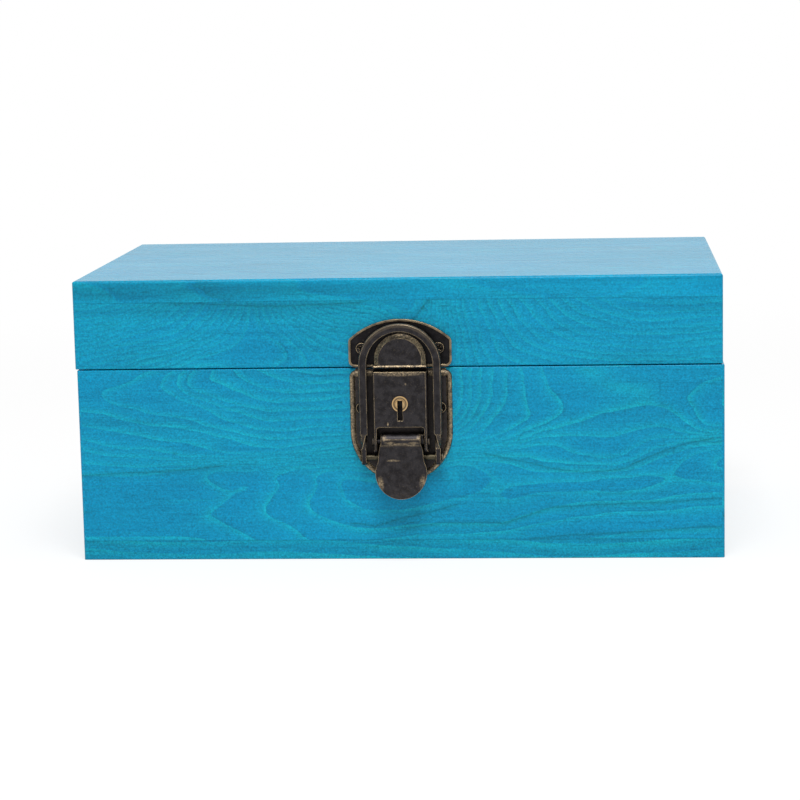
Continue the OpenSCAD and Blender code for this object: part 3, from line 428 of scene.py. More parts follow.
class ChestStageSettings(bpy.types.PropertyGroup):
    """The photograph's camera and the floor's size."""

    eye: bpy.props.FloatVectorProperty(
        name="Camera", description="Place of the camera", default=(0.0761, -1.0202, 0.2131),
        size=3, subtype="TRANSLATION", unit="LENGTH"
    )
    yaw: bpy.props.FloatProperty(
        name="Yaw", description="Camera's turn to the right", default=math.radians(-4.558),
        subtype="ANGLE"
    )
    pitch: bpy.props.FloatProperty(
        name="Pitch", description="Camera's dip below level", default=math.radians(9.019),
        subtype="ANGLE"
    )
    roll: bpy.props.FloatProperty(
        name="Roll", description="Camera's roll", default=math.radians(-1.212), subtype="ANGLE"
    )
    lens: bpy.props.FloatProperty(
        name="Lens", description="Focal length on a 36 mm sensor", default=112.15,
        subtype="DISTANCE_CAMERA"
    )
    floor_size: length("Floor", "Width of the floor", 12.0)


# ---- node building ----


def put(tree, kind, inputs=None, **settings):
    """Adds a node, sets its settings, and fills or links its inputs."""
    made = tree.nodes.new(kind)
    for name, value in settings.items():
        setattr(made, name, value)
    for socket, value in (inputs or {}).items():
        fill(made.inputs[socket], value)
    return made


def fill(socket, value):
    """Links an input to another node's result, or sets it."""
    value = value.socket if isinstance(value, Number) else value
    if isinstance(value, bpy.types.NodeSocket):
        socket.id_data.links.new(value, socket)
    else:
        socket.default_value = value


class Number:
    """A number that a node gives. Arithmetic on it adds Math nodes to its tree."""

    def __init__(self, socket):
        self.socket = socket

    def __add__(self, other):
        return calc("ADD", self, other)

    def __sub__(self, other):
        return calc("SUBTRACT", self, other)

    def __rsub__(self, other):
        return calc("SUBTRACT", other, self)

    def __mul__(self, other):
        return calc("MULTIPLY", self, other)

    def __truediv__(self, other):
        return calc("DIVIDE", self, other)

    def __rtruediv__(self, other):
        return calc("DIVIDE", other, self)

    def __pow__(self, power):
        return calc("POWER", self, power)

    def __abs__(self):
        return calc("ABSOLUTE", self)


def number(tree, kind, inputs=None, output=0, **settings):
    """A new node's result as a number."""
    return Number(put(tree, kind, inputs, **settings).outputs[output])


def calc(operation, *values, clamp=False):
    """A Math node's result, in the tree of the numbers that it works on."""
    tree = next(one.socket.id_data for one in values if isinstance(one, Number))
    inputs = dict(enumerate(values))
    return number(tree, "ShaderNodeMath", inputs, operation=operation, use_clamp=clamp)


def most(*values):
    """The largest of several numbers."""
    largest = values[0]
    for one in values[1:]:
        largest = calc("MAXIMUM", largest, one)
    return largest


def remap(value, low, high, to_low=0.0, to_high=1.0, kind=SMOOTH):
    """Carries a number from one range to another, held at its ends."""
    inputs = {0: value, 1: low, 2: high, 3: to_low, 4: to_high}
    return number(value.socket.id_data, "ShaderNodeMapRange", inputs, interpolation_type=kind)


def noise(vector, scale, detail=2.0, roughness=0.5):
    """A noise value about 0.5."""
    inputs = {"Vector": vector, "Scale": scale, "Detail": detail, "Roughness": roughness}
    return number(vector.id_data, "ShaderNodeTexNoise", inputs)


def stretched(vector, scale, offset=(0.0, 0.0, 0.0)):
    """The coordinates scaled by an amount for each axis."""
    return put(vector.id_data, "ShaderNodeMapping", {0: vector, 1: offset, 3: scale}).outputs[0]


def parts_of(vector):
    """The x, y and z of a vector."""
    return [Number(one) for one in put(vector.id_data, "ShaderNodeSeparateXYZ", {0: vector}).outputs]


def oval(parts, x, z, wide=1.0, high=1.0):
    """The square of the way out from an oval's middle, which is 1 on the oval (all in mm)."""
    return ((parts[0] - x * MM) / (wide * MM)) ** 2.0 + ((parts[2] - z * MM) / (high * MM)) ** 2.0


def blend(factor, first, second):
    """Mixes two colours."""
    made = put(factor.socket.id_data, "ShaderNodeMix", {0: factor}, data_type="RGBA")
    for socket, value in ((made.inputs[6], first), (made.inputs[7], second)):
        fill(socket, value if isinstance(value, bpy.types.NodeSocket) else (*value, 1.0))
    return made.outputs[2]


def brightened(colour_socket, value):
    """A colour at so many times its brightness."""
    inputs = {"Value": value, "Color": colour_socket}
    return put(colour_socket.id_data, "ShaderNodeHueSaturation", inputs).outputs[0]


def corner_air(tree, distance, samples):
    """How open a place is, from 0 deep in a corner to 1."""
    inputs = {"Distance": distance}
    return number(tree, "ShaderNodeAmbientOcclusion", inputs, output=1, samples=samples)


def new_material(name):
    """An empty material."""
    made = bpy.data.materials.new(name)
    made.use_nodes = True
    made.node_tree.nodes.clear()
    return made


def coat(made, looks, relief):
    """Ends a material in its shader, over a fine relief."""
    tree = made.node_tree
    normal = put(tree, "ShaderNodeBump", relief).outputs[0]
    shader = put(tree, "ShaderNodeBsdfPrincipled", {**looks, "Normal": normal}).outputs[0]
    put(tree, "ShaderNodeOutputMaterial", {0: shader})
    return made


def dress(node_name, material):
    """Gives a carried-over piece its material."""
    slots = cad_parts[node_name].material_slots
    if not slots:
        raise RuntimeError(node_name + " has no place for a material")
    for one in slots:
        one.material = material


# ---- wood ----


def heart_group():
    """A node group with the distance, in metres, from one heart of a figure, which is drawn
    out along the grain."""
    tree = bpy.data.node_groups.new("Figure heart", "ShaderNodeTree")
    names = (
        "Along", "Across", "Depth", "Heart along", "Heart across", "Squeeze low", "Squeeze high",
        "Pointedness", "Start",
    )
    for name in names:
        tree.interface.new_socket(name, in_out="INPUT", socket_type="NodeSocketFloat")
    tree.interface.new_socket("Distance", in_out="OUTPUT", socket_type="NodeSocketFloat")
    sockets = tree.nodes.new("NodeGroupInput").outputs
    given = {name: Number(sockets[name]) for name in names}
    from_heart = given["Along"] - given["Heart along"]
    above = calc("GREATER_THAN", from_heart, 0.0)
    squeeze = given["Squeeze high"] * above + given["Squeeze low"] * (1.0 - above)
    power = given["Pointedness"]
    total = abs(from_heart * squeeze) ** power
    total = total + abs(given["Across"] - given["Heart across"]) ** power
    total = total + abs(given["Depth"]) ** power
    put(tree, "NodeGroupOutput", {0: total ** (1.0 / power) + given["Start"]})
    return tree


def cubic_weights(place, count):
    """Weights of the cubic spline's control values at each place, one row for each place."""
    first = np.clip(np.floor(place).astype(int), 0, count - 4)
    t = place - first
    four = np.stack([
        (1 - t) ** 3, 3 * t ** 3 - 6 * t ** 2 + 4, -3 * t ** 3 + 3 * t ** 2 + 3 * t + 1, t ** 3
    ], 1) / 6
    weights = np.zeros((len(place), count))
    np.put_along_axis(weights, first[:, None] + np.arange(4)[None], four, 1)
    return weights


class RingSurface:
    """A smooth surface over a board's face, in mm, whose height at a drawn ring is its number."""

    def __init__(self, rings, low, high):
        self.low = np.array(low) - SPLINE_MARGIN
        self.step = np.array(SPLINE_STEP)
        spans = (np.array(high) + SPLINE_MARGIN - self.low) / self.step
        self.count = np.ceil(spans).astype(int) + 3
        places, heights = [], []
        for ring, points in rings:
            for start, end in zip(np.array(points[:-1], float), np.array(points[1:], float)):
                parts = max(1, int(np.hypot(*(end - start)) / RING_SAMPLE))
                share_of = np.arange(parts + 1)[:, None] / parts
                places.append(start + (end - start) * share_of)
                heights.append(np.full(parts + 1, float(ring)))
        drawn = self.rows(np.concatenate(places))
        smooth = self.bending(SPLINE_STIFFNESS)
        square = drawn.T @ drawn + smooth.T @ smooth + 1e-9 * np.eye(drawn.shape[1])
        self.values = np.linalg.solve(square, drawn.T @ np.concatenate(heights))

    def axis_weights(self, places):
        """The spline's weights at each place, for each of its two axes."""
        spots = (places - self.low) / self.step
        return [cubic_weights(spots[:, axis], self.count[axis]) for axis in (0, 1)]

    def rows(self, places):
        """The spline's weights at each place."""
        along, across = self.axis_weights(places)
        return (along[:, :, None] * across[:, None, :]).reshape(len(places), -1)

    def bending(self, stiffness):
        """Rows that hold the surface's bends and twists small."""
        at = np.arange(self.count[0] * self.count[1]).reshape(self.count)
        parts = (
            ((at[:-2], 1.0), (at[1:-1], -2.0), (at[2:], 1.0)),
            ((at[:, :-2], 1.0), (at[:, 1:-1], -2.0), (at[:, 2:], 1.0)),
            (
                (at[1:, 1:], TWIST), (at[:-1, :-1], TWIST),
                (at[1:, :-1], -TWIST), (at[:-1, 1:], -TWIST),
            ),
        )
        rows = []
        for part in parts:
            block = np.zeros((part[0][0].size, at.size))
            for spots, weight in part:
                block[np.arange(spots.size), spots.ravel()] += weight * stiffness
            rows.append(block)
        return np.concatenate(rows)

    def heights(self, places):
        """The surface's height at each place."""
        along, across = self.axis_weights(places)
        return ((along @ self.values.reshape(self.count)) * across).sum(1)


def strips(shape, faces, axis, low, high, spacing):
    """Cuts flat faces into even strips across an axis, and returns the strips."""
    if high - low <= spacing or not faces:
        return [faces]
    middle = (low + high) / 2
    normal = Vector((0.0, 0.0, 0.0))
    normal[axis] = 1.0
    edges = dict.fromkeys(edge for one in faces for edge in one.edges)
    corners = dict.fromkeys(vert for one in faces for vert in one.verts)
    cut = bmesh.ops.bisect_plane(
        shape, geom=[*faces, *edges, *corners], dist=1e-7, plane_co=normal * middle, plane_no=normal
    )
    kept = [one for one in cut["geom"] if isinstance(one, bmesh.types.BMFace)]
    sides = ([], [])
    for one in kept:
        sides[one.calc_center_median()[axis] > middle].append(one)
    below = strips(shape, sides[0], axis, low, middle, spacing)
    return below + strips(shape, sides[1], axis, middle, high, spacing)


def streak_offset(streaks, places):
    """How far each place stands above the nearest dark streak that passes over or under it."""
    nearest = np.full(len(places), NO_STREAK)
    for points in streaks:
        line = np.array(points, float)
        apart = places[:, 1] - np.interp(places[:, 0], line[:, 0], line[:, 1])
        beyond = np.maximum(line[0, 0] - places[:, 0], places[:, 0] - line[-1, 0])
        apart += np.sign(apart) * np.maximum(beyond, 0.0)
        nearest = np.where(np.abs(apart) < np.abs(nearest), apart, nearest)
    return nearest


def divided_board(source, low, high):
    """A copy of a board whose front face is cut into small cells."""
    shape = bmesh.new()
    shape.from_mesh(source.data)
    shape.transform(source.matrix_world)
    cell = CELL
    front = [one for one in shape.faces if one.normal.y < -0.99]
    if not front:
        raise RuntimeError(source.name + " has no front face")
    upright = strips(shape, front, 0, low[0], high[0], cell)
    front = [one for strip in upright for one in strip]
    strips(shape, front, 2, low[2], high[2], cell)
    mesh = bpy.data.meshes.new(source.name + "_figured")
    shape.to_mesh(mesh)
    shape.free()
    return mesh


def figured_board(node_name, body, rings, streaks, material):
    """The carried-over board with a finely divided front face, which holds its ring numbers,
    the gap between two rings and the way to the nearest dark streak, all in mm."""
    corners = [np.array(corner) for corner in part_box(node_name)]
    mesh = divided_board(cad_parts[node_name], *corners)
    places = np.empty(len(mesh.vertices) * 3, np.float32)
    mesh.vertices.foreach_get("co", places)
    places = places.reshape(-1, 3).astype(float) / MM
    flat = places[:, [0, 2]]
    surface = RingSurface(rings, *(corner[[0, 2]] / MM for corner in corners))
    slopes = [
        (surface.heights(flat + step) - surface.heights(flat - step)) / (2 * np.abs(step).sum())
        for step in SLOPE_STEPS
    ]
    values = {
        "ring": surface.heights(flat) + RINGS_PER_DEPTH * (places[:, 1] - FRONT / MM),
        "gap": np.clip(1.0 / np.maximum(np.hypot(*slopes), 1e-3), *GAP_LIMITS),
        "streak": streak_offset(streaks, flat),
    }
    for name, each in values.items():
        mesh.attributes.new(name, "FLOAT", "POINT").data.foreach_set("value", each.astype(np.float32))
    mesh.materials.append(material)
    made = bpy.data.objects.new(node_name + "_figured", mesh)
    bpy.context.scene.collection.objects.link(made)
    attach(made, body)
    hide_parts(node_name)


def drawn_out(place, grain, along, across, seed):
    """The coordinates at one scale along the grain and another across it, shifted by a seed."""
    scale = [along if axis == grain else across for axis in AXES]
    return stretched(place, scale, [seed * one for one in SEED_SHIFT])


def grain_pattern(place, kind, grain, seed):
    """A noise value about 0.5 that is drawn out along the grain."""
    along, across, *noise_values = GRAIN_PATTERNS[kind]
    return noise(drawn_out(place, grain, along, across, seed), *noise_values)


def drawn_figure(place, seed):
    """The ring's number, the gap between two rings and the way to a streak, from the piece's
    own attributes, with a little sway."""
    count, gap, streak = [
        number(place.id_data, "ShaderNodeAttribute", output="Fac", attribute_name=name)
        for name in ("ring", "gap", "streak")
    ]
    wobble = remap(grain_pattern(place, "wobble", "x", seed), 0.2, 0.8, -0.75, 0.75, LINEAR)
    sway = remap(grain_pattern(place, "sway", "x", seed), 0.2, 0.8, -1.0, 1.0, LINEAR)
    return count + wobble / gap, gap, streak + sway


def ring_count(place, figure, seed, grain, face):
    """The number of the growth ring at each place of a board without a drawn figure."""
    tree = place.id_data
    moved = place
    for scale, detail, reach in RING_SWAYS:
        inputs = {"Vector": drawn_out(place, grain, 1.0, 4.0, seed), "Scale": scale, "Detail": detail}
        sway = put(tree, "ShaderNodeTexNoise", inputs).outputs["Color"]
        sway = put(tree, "ShaderNodeVectorMath", {0: sway, 1: (0.5,) * 3}, operation="SUBTRACT")
        inputs = {0: sway.outputs[0], 1: (reach,) * 3, 2: moved}
        moved = put(tree, "ShaderNodeVectorMath", inputs, operation="MULTIPLY_ADD").outputs[0]
    parts = parts_of(moved)
    through = next(index for index, axis in enumerate(AXES) if axis not in face)
    outer = LOADED_BOX[1][through] * (-1.0 if face == "xz" else 1.0)
    across_face = [parts[AXES.index(axis)] for axis in face]
    depth = (parts[through] - outer) * FIGURE_DEPTH
    hearts = bpy.data.node_groups.get("Figure heart") or heart_group()
    nearest = None
    for at, up, low, high, point, start in FIGURES[figure]:
        given = (*across_face, depth, at * MM, up * MM, low, high, point, start * MM)
        here = number(tree, "ShaderNodeGroup", node_tree=hearts)
        for socket, value in zip(here.socket.node.inputs, given):
            fill(socket, value)
        nearest = here if nearest is None else calc("SMOOTH_MIN", nearest, here, HEART_BLEND)
    return nearest / bpy.context.scene.chest_wood.ring_gap + noise(place, *RING_SHIFT) * 0.8


def fall_off(distance, reach, top):
    """A number that falls from top as the distance grows past the reach."""
    return calc("EXPONENT", distance * (-1.0 / reach)) * top


def near_segment(parts, segment):
    """How far a place on the board's face is from a segment, in mm."""
    x0, z0, x1, z1 = segment
    run, rise = x1 - x0, z1 - z0
    size = run * run + rise * rise
    from_x = parts[0] / MM - x0
    from_z = parts[2] / MM - z0
    part = calc("ADD", from_x * (run / size), from_z * (rise / size), clamp=True)
    return calc("SQRT", (from_x - part * run) ** 2.0 + (from_z - part * rise) ** 2.0)


def ring_lines(place, count, gap, seed, grain):
    """How pale the wood is after each ring's edge, and how dark on the edge itself."""
    inside = calc("FRACT", count)
    inputs = {"W": calc("FLOOR", count) + float(seed)}
    mark = number(place.id_data, "ShaderNodeTexWhiteNoise", inputs, noise_dimensions="1D")
    fading = remap(grain_pattern(place, "fading", grain, seed), 0.36, 0.66)
    past = inside * gap
    near, wide = (fall_off(past, *each) for each in RING_PALE)
    pale = (near + wide) * remap(past, 0.0, 0.35)
    pale = pale * remap(mark, 0.0, 1.0, 0.8, 1.0, LINEAR)
    pale = pale * remap(fading, 0.0, 1.0, 0.62, 1.0, LINEAR)
    line = fall_off((1.0 - inside) * gap, *RING_EDGE) * remap(mark, 0.3, 0.9, 0.2, 0.8)
    return pale, line * remap(fading, 0.0, 1.0, 0.2, 1.0, LINEAR)


def streak_line(streak):
    """How dark a resin streak is: a thin core, and a soft shade below it."""
    below = remap(streak, -3.5, 0.0, 0.0, 0.25) * calc("LESS_THAN", streak, 0.0)
    return fall_off(abs(streak), *STREAK_CORE) + below


def knot_line(place, parts, knot):
    """How dark the check beside a knot is."""
    uneven = remap(noise(place, *KNOT_EDGE), 0.3, 0.7, -0.5, 0.5, LINEAR)
    return fall_off(most(near_segment(parts, knot) + uneven, 0.0), *KNOT_DARK)


def stained_wood(name, seed, figure=None, grain="x", face="xz", tone=1.0, pale_gain=0.6,
                 knot=None, shade=None):
    """Stained and varnished pine. grain is the axis the board's fibres run along, and
    face the two axes of the side where its figure is drawn. Without a figure's name, the
    figure is read from the piece's own ring numbers. knot is a dark check in the face, and
    shade a darker patch."""
    wood = bpy.context.scene.chest_wood
    made = new_material(name)
    place = put(made.node_tree, "ShaderNodeTexCoord").outputs["Object"]
    parts = parts_of(place)
    if figure:
        count = ring_count(place, figure, seed, grain, face)
        pale, line = ring_lines(place, count, PLAIN_GAP * wood.ring_gap / MM, seed, grain)
    else:
        count, gap, streak = drawn_figure(place, seed)
        pale, line = ring_lines(place, count, gap, seed, grain)
        line = most(line, streak_line(streak))
    if knot:
        line = most(line, knot_line(place, parts, knot))
    # from broad bands and single fibres along the grain to a fine mottle
    patterns = {
        kind: grain_pattern(place, kind, grain, seed) for kind in ("cloud", "bands", "fibre", "pores")
    }
    dust = noise(place, *DUST)
    body = blend(calc("MULTIPLY", pale, pale_gain, clamp=True), wood.stain, wood.early)
    body = blend(calc("MULTIPLY", line, LINE_STRENGTH, clamp=True), body, wood.late)
    for kind, starts, full, strength, tint in WOOD_LAYERS:
        amount = remap(patterns[kind], starts, full, 0.0, strength)
        body = blend(amount, body, getattr(wood, tint))
    bright = remap(patterns["cloud"], 0.3, 0.7, 0.93 * tone, 1.07 * tone, LINEAR)
    bright = bright + remap(dust, 0.3, 0.7, -0.27, 0.27, LINEAR)
    if shade:
        *middle_and_size, strength = shade
        bright = bright * remap(oval(parts, *middle_and_size), 1.0, 0.0, 1.0, 1.0 - strength)
    for joint in JOINT_HEIGHTS:
        bright = bright * remap(abs(parts[2] - joint), *JOINT_LINE, 1.0)
    fibre = patterns["fibre"]
    level = wood.varnish_roughness
    looks = {
        "Base Color": brightened(body, bright),
        "Roughness": remap(fibre, 0.3, 0.7, level - 0.04, level + 0.05),
        "IOR": VARNISH_IOR,
    }
    relief = {"Height": fibre * 0.6 + dust * 0.3, "Strength": 0.3, "Distance": 0.12 * MM}
    return coat(made, looks, relief)


# ---- metal ----


def bevelled(tree, radius, samples):
    """The surface's normal with its edges rounded over a radius."""
    return put(tree, "ShaderNodeBevel", {"Radius": radius}, samples=samples).outputs[0]


def worn_edges(tree, rounded, patchy):
    """How worn the open edges are."""
    flat = put(tree, "ShaderNodeNewGeometry").outputs["Normal"]
    inputs = {0: rounded, 1: flat}
    turn = number(tree, "ShaderNodeVectorMath", inputs, output=1, operation="DOT_PRODUCT")
    edge = remap(turn, 0.995, 0.92) * remap(corner_air(tree, NEAR_AIR, 6), 0.55, 0.85)
    return calc("MULTIPLY", edge, patchy, clamp=True)


def worn_slopes(place, normal, stand, slopes_from, lip, patchy):
    """How worn the slopes that stand far enough out from the front are, and a plate's lip."""
    raised = remap(stand, FRONT - slopes_from, FRONT - slopes_from - SLOPE_START)
    facing = abs(parts_of(normal)[1])
    speckle = remap(noise(place, *SPECKLE), 0.36, 0.62, 0.16, 1.0)
    slope = remap(facing, 0.985, 0.88) * remap(facing, 0.2, 0.4) * raised * speckle * patchy
    start, end = ([FRONT - limit for limit in limits] for limits in (LIP_START, LIP_END))
    return most(slope, remap(stand, *start) * remap(stand, *end) * speckle * lip)


def rubs_and_glints_mask(place, parts, rubs_and_glints):
    """How bright the listed spots are: rubbed wear, and on the lever painted glints."""
    fine = remap(noise(place, *FINE_SPECKLE), 0.36, 0.66, 0.08, 1.0)
    spots = [
        remap(oval(parts, x, z, wide, high), 1.3, 0.0, 0.0, strength) * fine
        for x, z, wide, high, strength in rubs_and_glints
    ]
    return most(*spots)


def bow_top_highlight(parts, x, z, inner, starts, whole):
    """Where the highlight painted on the bow's arch lies: its outer part, growing towards the top, as a
    number from 0 to 1.
    """
    band = remap(calc("SQRT", oval(parts, x, z)), inner - 0.15, inner + 0.15)
    return band * remap(parts[2], starts * MM, whole * MM)


def bright_specks(place):
    """Sparse bright specks in the plating."""
    cells = number(place.id_data, "ShaderNodeTexVoronoi", {"Vector": place, "Scale": 520.0})
    return remap(cells, 0.11, 0.05) * remap(noise(place, *SPARSE), 0.60, 0.72) * 0.8


def aged_metal(name, plating="bronze", seed=0.0, wear=1.0, slopes_from=None, lip=0.0, rubs_and_glints=(),
               pillow=0.0, bow_highlight=None, rim=0.0, field_shade=1.0):
    """Dark plating with brassy wear along its edges, painted shade in its corners and recesses, and
    bright specks.
    The slopes that stand out from the chest's front by more than slopes_from are rubbed too, and
    so are a plate's raised lip or rim, and the listed spots: rubbed wear, and on the lever painted
    glints. field sets the painted shade on the recessed plate inside its rim, and bow_highlight a
    highlight painted on the top of the bow's arch. pillow rounds the look of a pressed piece over
    that distance from its edges."""
    metal = bpy.context.scene.chest_metal
    base = getattr(metal, plating)
    made = new_material(name)
    tree = made.node_tree
    source = put(tree, "ShaderNodeTexCoord").outputs
    parts = parts_of(source["Object"])
    stand = parts[1]
    place = stretched(source["Object"], (1.0, 1.0, 1.0), (seed, 0.3 * seed, 0.7 * seed))
    cloud = noise(place, *PLATING_CLOUD)
    grain = noise(place, *PLATING_GRAIN)
    patchy = remap(noise(place, *PATCHES), 0.34, 0.62, 0.35, 1.0)
    rounded = bevelled(tree, metal.edge_reach, 6)
    worn = [worn_edges(tree, rounded, patchy * wear)]
    # painted shade: the colour is darkened in corners and recesses, where shade falls
    painted_shade = remap(corner_air(tree, FAR_AIR, 8), 0.15, 0.80, 0.08, 1.0, LINEAR)
    if slopes_from is not None:
        worn.append(worn_slopes(place, source["Normal"], stand, slopes_from, lip, patchy))
    if rim:
        top = remap(stand, FRONT - RIM_FOOT, FRONT - RIM_TOP)
        top = top * remap(stand, *(FRONT - limit for limit in RIM_LIMIT))
        worn.append(top * patchy * rim)
        # painted shade on the recessed plate inside the catch plate's rim
        painted_shade = painted_shade * remap(stand, FRONT - RIM_TOP, FRONT - RIM_FOOT, 1.0, field_shade)
    # glints painted on the lever, and bright rubbed marks
    if rubs_and_glints:
        worn.append(rubs_and_glints_mask(place, parts, rubs_and_glints))
    dark, light = ([level * part for part in base] for level in DARK_LIGHT)
    body = blend(remap(cloud, 0.32, 0.68), dark, light)
    body = blend(remap(grain, 0.60, 0.80, 0.0, 0.22), body, metal.worn)
    # painted highlight on the top of the bow's arch, where light from above falls
    if bow_highlight:
        body = blend(bow_top_highlight(parts, *bow_highlight) * 0.09, body, metal.worn)
    body = blend(bright_specks(place), body, metal.worn)
    # the worn colour over real wear and, through the listed spots, over painted glints
    body = blend(most(*worn), body, metal.worn)
    looks = {
        "Base Color": brightened(body, painted_shade),
        "Metallic": 1.0,
        "Roughness": remap(cloud, 0.3, 0.7, metal.roughness - 0.07, metal.roughness + 0.09),
    }
    normal = bevelled(tree, pillow, 8) if pillow else rounded
    relief = {"Height": grain, "Strength": 0.12, "Distance": 0.05 * MM, "Normal": normal}
    return coat(made, looks, relief)


def metal_named(name):
    """A metal finish, made when a piece first asks for it."""
    return bpy.data.materials.get(name) or aged_metal(name, **METALS[name])


def bush_brass(name):
    """Turned brass with a dark ring round the key's hole, and shade painted into the hole."""
    metal = bpy.context.scene.chest_metal
    made = new_material(name)
    place = put(made.node_tree, "ShaderNodeTexCoord").outputs["Object"]
    parts = parts_of(place)
    radius, nothing, whole = KEY_RING
    ring = remap(abs(calc("SQRT", oval(parts, *KEY_CENTRE)) - radius), nothing, whole)
    body = blend(remap(noise(place, *BRASS_CLOUD), 0.3, 0.7, 0.0, 0.5), metal.brass, metal.worn)
    body = blend(ring * 0.75, body, metal.bronze)
    # painted shade: the brass is darkened in the key's hole, by its corners and by its depth
    air = remap(corner_air(made.node_tree, HOLE_AIR, 8), 0.4, 0.9, 0.35, 1.0, LINEAR)
    depth = remap(parts[1], *(FRONT - limit for limit in KEYHOLE_DEPTH), 0.10, 1.0)
    looks = {"Base Color": brightened(body, air * depth), "Metallic": 1.0, "Roughness": 0.34}
    relief = {"Height": noise(place, *BRASS_GRAIN), "Strength": 0.2, "Distance": 0.05 * MM}
    return coat(made, looks, relief)


# ---- screws ----


def screw_shape(name, radius, head, depth):
    """One screw: a dished head with a cross recess over a plain shank, its axis along +Z and
    the head's underside at the origin."""
    shape = bmesh.new()
    dish = [0.88 * share_at for share_at in np.linspace(0.08, 1.0, DISH_RINGS)]
    outline = [(r * radius, head * (0.62 + 0.38 * r * r)) for r in dish]
    outline += [(radius * 0.95, head * 0.97), (radius, head * 0.72), (radius, 0.0)]
    outline += [(radius * 0.42, 0.0), (radius * 0.42, -depth * 0.75)]
    arm, half = radius * 0.62, radius * 0.15
    rings = []
    for index, (r, z) in enumerate(outline):
        ring = []
        for step in range(SCREW_SIDES):
            angle = 2.0 * math.pi * step / SCREW_SIDES
            x, y = r * math.cos(angle), r * math.sin(angle)
            low, high = sorted((abs(x), abs(y)))
            cut = head * 0.55 if index < DISH_RINGS and low < half and high < arm else 0.0
            ring.append(shape.verts.new((x, y, z - cut)))
        rings.append(ring)
    for inner, outer in zip(rings[:-1], rings[1:]):
        for step in range(SCREW_SIDES):
            after = (step + 1) % SCREW_SIDES
            shape.faces.new((inner[step], outer[step], outer[after], inner[after]))
    middle = shape.verts.new((0.0, 0.0, head * 0.07))
    tip = shape.verts.new((0.0, 0.0, -depth))
    for step in range(SCREW_SIDES):
        after = (step + 1) % SCREW_SIDES
        shape.faces.new((middle, rings[0][step], rings[0][after]))
        shape.faces.new((tip, rings[-1][after], rings[-1][step]))
    bmesh.ops.recalc_face_normals(shape, faces=shape.faces)
    mesh = bpy.data.meshes.new(name)
    shape.to_mesh(mesh)
    shape.free()
    mesh.polygons.foreach_set("use_smooth", [True] * len(mesh.polygons))
    mesh.set_sharp_from_angle(angle=math.radians(35.0))
    return mesh


def screw_setter():
    """Geometry nodes that set one screw on each point, each turned by chance about its axis."""
    tree = bpy.data.node_groups.new("Set screws", "GeometryNodeTree")
    for name, kind in (
        ("Points", "Geometry"), ("Screw", "Object"), ("Facing", "Vector"), ("Metal", "Material"),
        ("Seed", "Int"),
    ):
        tree.interface.new_socket(name, in_out="INPUT", socket_type="NodeSocket" + kind)
    tree.interface.new_socket("Screws", in_out="OUTPUT", socket_type="NodeSocketGeometry")
    given = tree.nodes.new("NodeGroupInput").outputs
    one = put(tree, "GeometryNodeObjectInfo", {"Object": given["Screw"]}, transform_space="ORIGINAL")
    aimed = put(tree, "FunctionNodeAlignRotationToVector", {"Vector": given["Facing"]}, axis="Z")
    chance = tree.nodes.new("FunctionNodeRandomValue")
    chance.data_type = "FLOAT"
    spin_low, spin_high = [one_in for one_in in chance.inputs if one_in.type == "VALUE"][:2]
    spin_low.default_value, spin_high.default_value = 0.0, math.pi
    tree.links.new(given["Seed"], chance.inputs["Seed"])
    spin_out = next(one_out for one_out in chance.outputs if one_out.type == "VALUE")
    spin = put(tree, "ShaderNodeCombineXYZ", {2: spin_out}).outputs[0]
    turned = put(
        tree, "FunctionNodeRotateRotation",
        {0: aimed.outputs[0], 1: put(tree, "FunctionNodeEulerToRotation", {0: spin}).outputs[0]},
        rotation_space="LOCAL",
    )
    set_on = put(tree, "GeometryNodeInstanceOnPoints", {
        "Points": given["Points"], "Instance": one.outputs["Geometry"], "Rotation": turned.outputs[0],
    })
    real = put(tree, "GeometryNodeRealizeInstances", {0: set_on.outputs[0]})
    inputs = {"Geometry": real.outputs[0], "Material": given["Metal"]}
    coated = put(tree, "GeometryNodeSetMaterial", inputs)
    put(tree, "NodeGroupOutput", {0: coated.outputs[0]})
    return tree


def screw_boxes(node_name):
    """The low and high corner of each screw of a carried-over node."""
    shape = bmesh.new()
    shape.from_mesh(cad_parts[node_name].data)
    left = set(shape.verts)
    boxes = []
    while left:
        found, edge = set(), [left.pop()]
        while edge:
            vert = edge.pop()
            found.add(vert)
            for link in vert.link_edges:
                other = link.other_vert(vert)
                if other in left:
                    left.discard(other)
                    edge.append(other)
        spots = np.array([vert.co[:] for vert in found])
        boxes.append((spots.min(0), spots.max(0)))
    shape.free()
    merged = []
    for low, high in boxes:
        middle = (low + high)[[0, 2]] / 2
        for other in merged:
            if np.abs((other[0] + other[1])[[0, 2]] / 2 - middle).max() < SAME_SCREW:
                other[0] = np.minimum(other[0], low)
                other[1] = np.maximum(other[1], high)
                break
        else:
            merged.append([low, high])
    return merged


